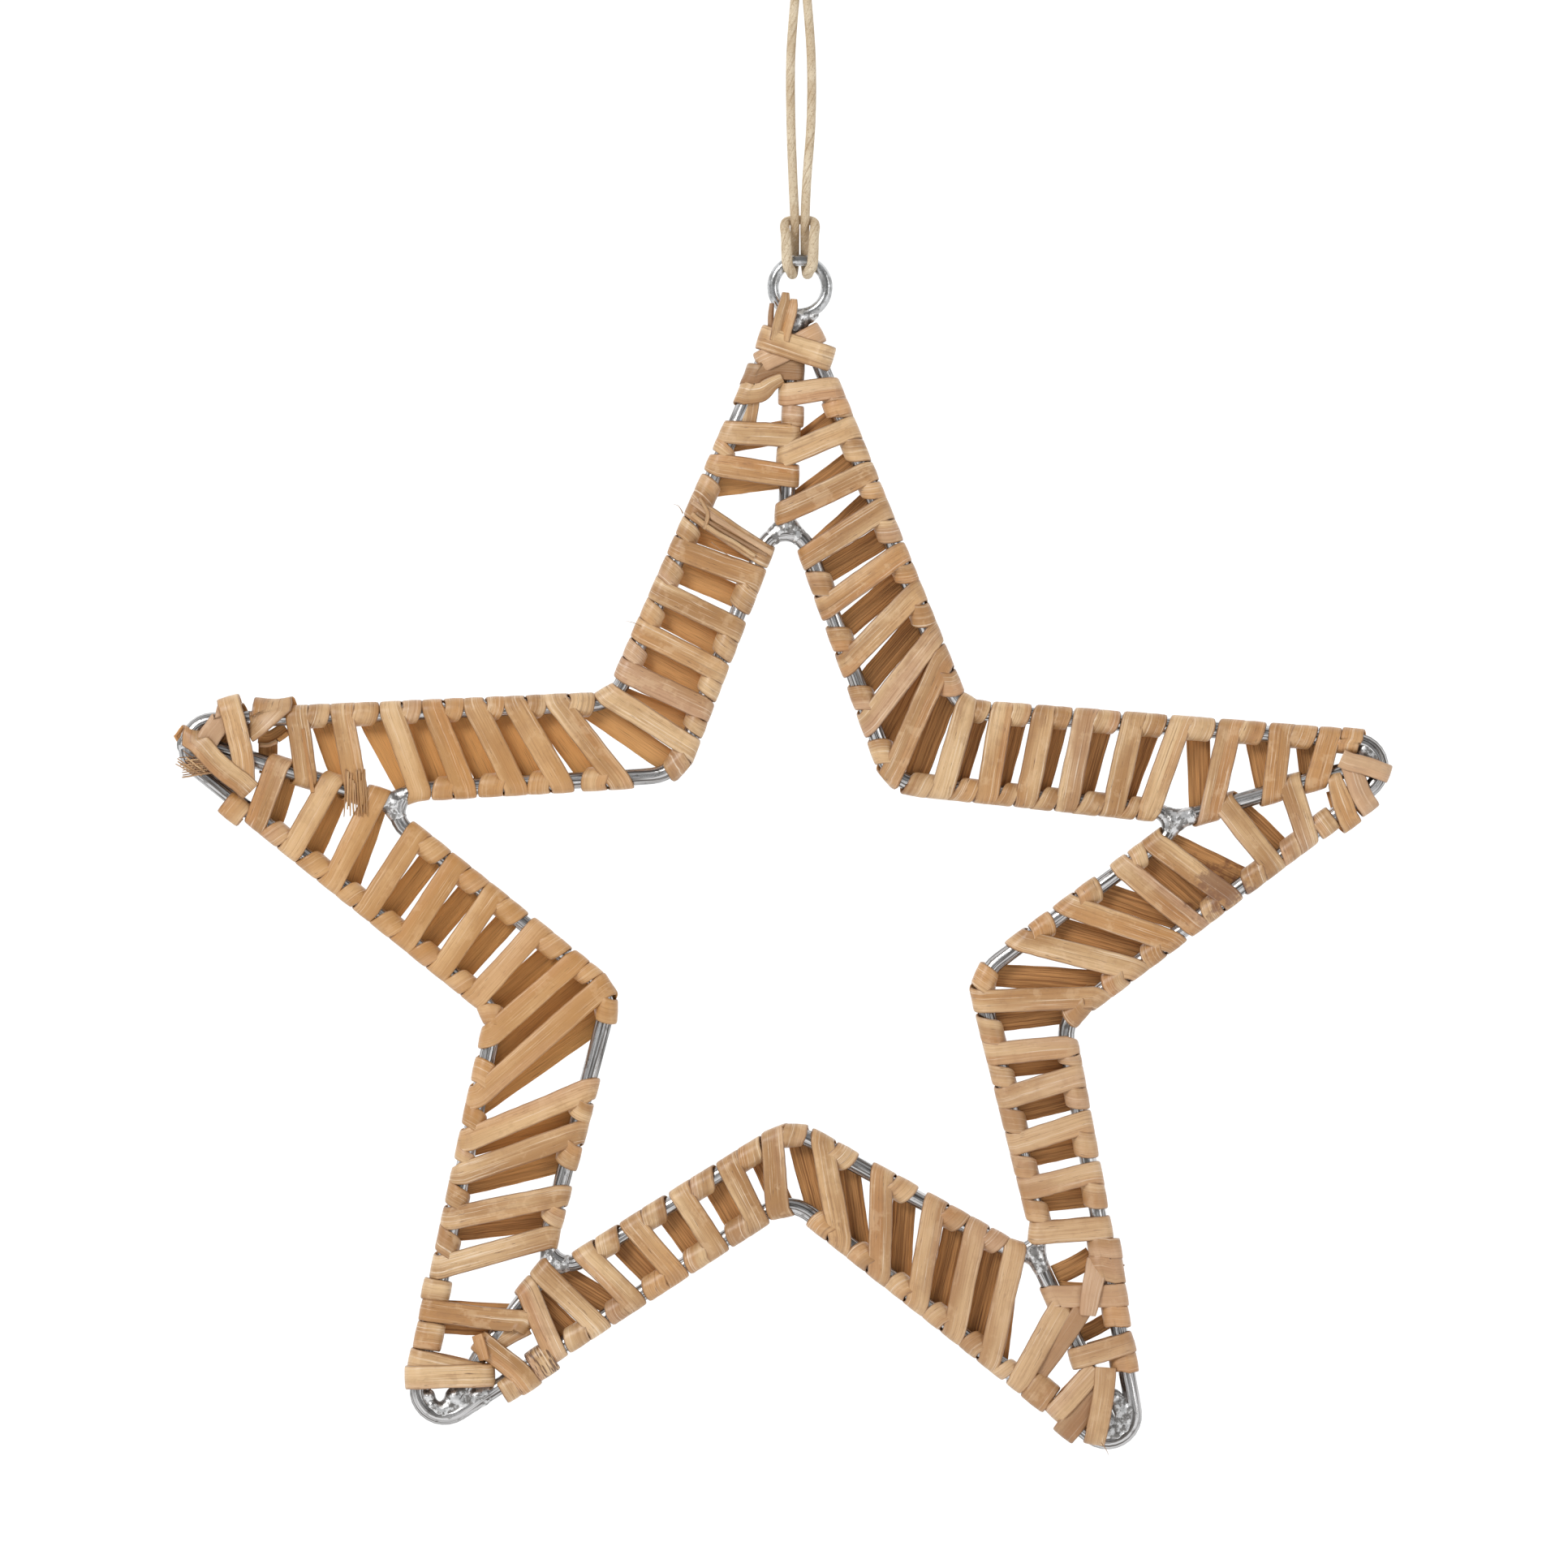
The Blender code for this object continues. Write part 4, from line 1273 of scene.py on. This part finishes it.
def band_rail(bends, band):
    """The wire from the middle of one point's bend, round a corner, to the middle of the next."""
    bend, turn = bends[band]
    next_bend = bends[(band + 1) % len(bends)][0]
    half = len(bend) // 2
    route = bend[half:] + turn + next_bend[: half + 1]
    run = lengths(route)
    zero = run[len(bend[half:]) + len(turn) // 2]
    return Rail(route, zero)


def hair_taper(share):
    """A stray fibre gets thinner all along."""
    return 1.1 - share


def make_band(band, outer_bends, inner_bends, struts, finish):
    following = (band + 1) % len(POINT_NAMES)
    outer, inner = band_rail(outer_bends, band), band_rail(inner_bends, band)
    inward = Rail(struts[band].route[::-1], single=True)
    outward = struts[following]
    before, before_strut, after, after_strut = FRONTS[band]
    stretches = (before_strut, before, after, after_strut)
    backs = [back for run, back in zip(stretches, BACKS[band]) for _ in run]
    fronts = []
    for far, near in reversed(before_strut):
        fronts.append((inward, inward.length - near * MM, outer, -far * MM))
    for far, near in reversed(before):
        fronts.append((inner, -near * MM, outer, -far * MM))
    for far, near in after:
        fronts.append((inner, near * MM, outer, far * MM))
    for far, near in after_strut:
        fronts.append((outward, near * MM, outer, far * MM))
    made = wound("winding", fronts, backs, finish, WINDING_SEED + band)
    routes = [outer.route, band_rail(outer_bends, following).route, outward.route]
    wires = [evenly(route, COARSE_SPACING) for route in routes]
    seed = POINT_SEED + POINT_SEED_STEP * band
    extras = point_strips(POINT_NAMES[following], wires, finish, seed)
    for at, *fray in FRAYED:
        if at == POINT_NAMES[following]:
            extras += frayed(*fray, finish, FRAY_SEED + band)
    for at, diameter, places in HAIRS:
        if at == BAND_NAMES[band]:
            route = smooth_route([Vector(place) * MM for place in places], 5)
            extras.append(tube("hair", route, diameter * MM, finish, 6, hair_taper))
    made = joined("winding_" + BAND_NAMES[band], [made] + extras)
    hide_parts("rattan_" + BAND_NAMES[band])
    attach(made, "root")
    return made


def wire_way(place, wires):
    """The direction of the wire that runs closest to a place."""
    stretches = [(a, b) for route in wires for a, b in zip(route, route[1:])]
    a, b = min(stretches, key=lambda s: ((s[0] + s[1]) / 2 - place).length)
    return (b - a).normalized()


def slant(travel, wire):
    """How far a strip leans along a wire for each step over it."""
    across = travel.cross(FRONT)
    lie = wire.dot(across)
    lie = math.copysign(max(abs(lie), LEAST_ACROSS), lie)
    return max(-MOST_SLANT, min(MOST_SLANT, wire.dot(travel) / lie))


def wound_round(centre, travel, wire, lift, degrees, width):
    """A place on a turn round a wire, counted from the front towards the way the strip goes."""
    level = math.radians(degrees)
    skew = slant(travel, wire)
    wire = wire * math.copysign(1.0, wire.dot(travel.cross(FRONT)))
    out = wire.cross(DEPTH)
    out = out * math.copysign(1.0, out.dot(travel))
    facing = FRONT * math.cos(level) + out * math.sin(level)
    tight = lift * (1 - END_CLOSING * abs(level))
    drift = wire * (skew * END_DRIFT * lift * level)
    return centre + facing * tight + drift, facing, width, skew


def photo_place(x, y):
    """The place in the frame of a pixel of the photograph."""
    return Vector((x - ZERO_PIXEL[0], 0.0, ZERO_PIXEL[1] - y)) * (MM_PER_PIXEL * MM)


def moved_in(places):
    """The places with the first moved in from the edge that is read to over its wire's middle."""
    (edge, lift, *first), rest = places[0], places[1:]
    along = (rest[0][0] - edge).normalized()
    middle = edge + along * (lift + STRIP_THICKNESS / 2)
    while len(rest) > 1 and (rest[0][0] - middle).dot(along) < LEAST_STEP:
        rest = rest[1:]
    return [(middle, lift, *first)] + rest


def read_strip(readings, ends):
    """Places of a strip: the middle, the lift, the roll and the share of the width."""
    places = []
    for x, y, lift, *rest in readings:
        roll, share = rest or (0.0, 1.0)
        places.append((photo_place(x, y), lift * MM, math.radians(roll), share))
    if ends in (FIRST, BOTH):
        places = moved_in(places)
    if ends in (LAST, BOTH):
        places = moved_in(places[::-1])[::-1]
    return places


def read_turn(length, middle, way, lift):
    """Places of a strip that shows only where it goes over one wire."""
    travel = Vector((way[0], 0.0, -way[1])).normalized()
    flat = (length * MM_PER_PIXEL * MM - TURN_WIDTH) / 2
    reach = travel * max(flat, LEAST_TURN)
    return [(photo_place(*middle) + reach * side, lift * MM, 0.0, 1.0) for side in (-1, 1)]


def wound_end(end, inner, wires):
    """The middle of a strip's last place, the way it goes there and the wire it goes round. One laid
    high, over other strips, goes straight round them all."""
    centre, lift = end[:2]
    travel = (centre - inner[0]).normalized()
    return centre, travel, travel.cross(FRONT) if lift > HIGH_LIFT else wire_way(centre, wires)


def over_front(width, places, first_skew, last_skew):
    """Samples of a strip's part in front, on a smooth line through its places."""
    steps = 7
    route = smooth_route([centre + FRONT * lift for centre, lift, _, _ in places], steps)
    samples = []
    for i, point in enumerate(route):
        k = min(i // steps, len(places) - 2)
        share = i / steps - k
        roll = places[k][2] * (1 - share) + places[k + 1][2] * share
        wide = places[k][3] * (1 - share) + places[k + 1][3] * share
        along = (route[min(i + 1, len(route) - 1)] - route[max(i - 1, 0)]).normalized()
        side = FRONT if places[k][1] > 0 else DEPTH
        across = along.cross(side).normalized()
        facing = side * math.cos(roll) + across * math.sin(roll)
        near_first = max(0.0, 1 - (point - route[0]).length / SKEWED_LENGTH)
        near_last = max(0.0, 1 - (point - route[-1]).length / SKEWED_LENGTH)
        skew = first_skew * near_first + last_skew * near_last
        skew /= max(1.0, near_first + near_last)
        samples.append((point, facing, width * wide, skew))
    return samples


def round_end(path, place, width, reach, hand):
    """Samples of a strip's end wound round its wire, from the front on."""
    _, lift, _, share = place
    steps = range(1, reach // TURN_STEP + 1)
    return [wound_round(*path, lift, hand * TURN_STEP * k, width * share) for k in steps]


def laid(width, ends, places, wires):
    """Samples of a strip laid over the front through its places, and wound round at its ends. A
    flat one goes on behind, to where its other end is."""
    is_flat = not any(roll for _, _, roll, _ in places)
    reach = FLAT_REACH if is_flat else ROLLED_REACH
    start = reach if ends in (FIRST, BOTH) else 0
    end = reach if ends in (LAST, BOTH) else 0
    centre, travel, wire = wound_end(places[0], places[1], wires)
    first = (centre, -travel, wire)
    last = wound_end(places[-1], places[-2], wires)
    first_skew = slant(*first[1:]) if start else 0.0
    last_skew = slant(*last[1:]) if end else 0.0
    samples = round_end(first, places[0], width, start, -1)[::-1]
    samples += over_front(width, places, first_skew, last_skew)
    samples += round_end(last, places[-1], width, end, 1)
    behind = DEPTH * WRAP_REACH
    if is_flat and end:
        rest = samples[0][0] + DEPTH * STRIP_THICKNESS if start else places[0][0] + behind
        samples += crossing(samples[-1][0], rest, DEPTH, width, 0.0)
    elif is_flat and start:
        samples = crossing(places[-1][0] + behind, samples[0][0], DEPTH, width, 0.0) + samples
    return samples


def point_strips(point, wires, finish, seed):
    """The strips that cross over each other at one point of the star."""
    runs = []
    for shade, width, ends, readings in POINT_STRIPS[point]:
        runs.append((shade, width, ends, read_strip(readings, ends)))
    for shade, width, *turn in POINT_TURNS[point]:
        runs.append((shade, width, BOTH, read_turn(*turn)))
    pieces = []
    for k, (shade, width, ends, places) in enumerate(runs):
        samples = laid(width * MM_PER_PIXEL * MM, ends, places, wires)
        pieces.append(ribbon("laid", samples, finish, seed + 3 * k, STRIP_THICKNESS, shade))
    return pieces


def frayed(foot, tip, width, spread, count, finish, seed):
    """The broken end of a strip, as many loose fibres."""
    pick = random.Random(seed)
    foot, tip = Vector(foot) * MM, Vector(tip) * MM
    across = (tip - foot).cross(DEPTH).normalized()
    pieces = []
    for k in range(count):
        share = (k + 0.5) / count - 0.5
        start = foot.lerp(tip, pick.uniform(0.0, 0.35)) + across * (share * width * MM)
        reach = pick.uniform(0.72, 1.05)
        end = start.lerp(tip + across * (share * spread * MM), reach)
        end += Vector((pick.uniform(-0.25, 0.25), pick.uniform(-0.45, 0.25), 0.0)) * MM
        middle = start.lerp(end, 0.5) + Vector((pick.uniform(-0.1, 0.1), -0.15, 0.0)) * MM
        wide = pick.uniform(0.30, 0.55) * MM
        samples = [
            (p, FRONT, wide * (1 - 0.5 * i / 8))
            for i, p in enumerate(smooth_route([start, middle, end], 4))
        ]
        shade = pick.choice([PLAIN, PLAIN, PINK, DULL_AND_SHADED])
        pieces.append(ribbon("fibre", samples, finish, seed + 5 * k, FIBRE_THICKNESS, shade))
    return pieces


# Floor and room


def make_floor():
    below = (0.0, 0.0, -0.72)
    bpy.ops.mesh.primitive_circle_add(vertices=128, radius=7.0, fill_type="NGON", location=below)
    floor = bpy.context.object
    floor.name = "floor"
    bpy.ops.object.mode_set(mode="EDIT")
    bpy.ops.mesh.select_all(action="SELECT")
    bpy.ops.mesh.inset(thickness=0.3)
    bpy.ops.object.mode_set(mode="OBJECT")
    bpy.ops.object.transform_apply(location=True, rotation=True, scale=True)
    finish = Finish("floor_paint")
    shade = finish.blend(finish.noise(finish.place(), 3.0), tone(243, 243, 243), tone(248, 248, 248))
    floor.data.materials.append(finish.surface(base=shade, roughness=0.85))
    floor.select_set(False)


def light_room():
    """A white surround, darker on the side of the camera, and two soft lamps in front."""
    world = bpy.data.worlds.new("studio")
    bpy.context.scene.world = world
    world.use_nodes = True
    tree = world.node_tree
    way = tree.nodes.new("ShaderNodeTexCoord")
    split = tree.nodes.new("ShaderNodeSeparateXYZ")
    fade = tree.nodes.new("ShaderNodeMapRange")
    fade.interpolation_type = "SMOOTHSTEP"
    fade.inputs["From Min"].default_value = -0.75
    fade.inputs["From Max"].default_value = 0.35
    fade.inputs["To Min"].default_value = 0.24
    fade.inputs["To Max"].default_value = 1.10
    tree.links.new(way.outputs["Generated"], split.inputs[0])
    tree.links.new(split.outputs["Y"], fade.inputs["Value"])
    tree.links.new(fade.outputs["Result"], tree.nodes["Background"].inputs["Strength"])
    tree.nodes["Background"].inputs["Color"].default_value = (1.0, 1.0, 1.0, 1.0)
    soft_light("key", (-1.2, -1.9, 1.1), (0, 0, -0.16), (0.9, 0.9), 33.0)
    soft_light("fill", (1.8, -1.7, 0.2), (0, 0, -0.16), (0.8, 1.4), 9.0)
    bpy.context.scene.view_settings.view_transform = "Standard"


def main():
    place_camera()
    light_room()
    make_floor()

    cord_fibre = cord_finish()
    cord, route = make_cord(cord_fibre)
    knot = make_knot(cord_fibre)
    lengths(route)[-1]

    outer_tips = star_points(OUTER_TIP_REACH, OUTER_TIP_OFFSETS, 0.0)
    outer_corners = star_points(OUTER_CORNER_REACH, OUTER_CORNER_OFFSETS, 36.0)
    inner_tips = star_points(INNER_TIP_REACH, INNER_TIP_OFFSETS, 0.0)
    inner_corners = star_points(INNER_CORNER_REACH, INNER_CORNER_OFFSETS, 36.0)
    outer_bends = star_wire(outer_tips, outer_corners, [OUTER_TIP_BEND] * len(outer_tips))
    inner_bends = star_wire(inner_tips, inner_corners, INNER_TIP_BENDS)
    make_star("outer_star_wire", outer_bends, wire_finish)
    make_star("inner_star_wire", inner_bends, wire_finish)

    weld = weld_finish()
    struts = []
    for i, point in enumerate(POINT_NAMES):
        crotch, tip = bend_top(inner_bends[i][0]), bend_top(outer_bends[i][0])
        make_strut(point, crotch, tip, wire_finish)
        make_web(point, crotch, tip, inner_bends[i][0], weld)
        struts.append(Rail([crotch, tip], single=True))
    for point, lumps in FILLS:
        make_fill(point, lumps, weld)
    make_ring(bend_top(outer_bends[0][0]), weld)

    rattan = rattan_finish()
    for band in range(len(BAND_NAMES)):
        make_band(band, outer_bends, inner_bends, struts, rattan)


main()
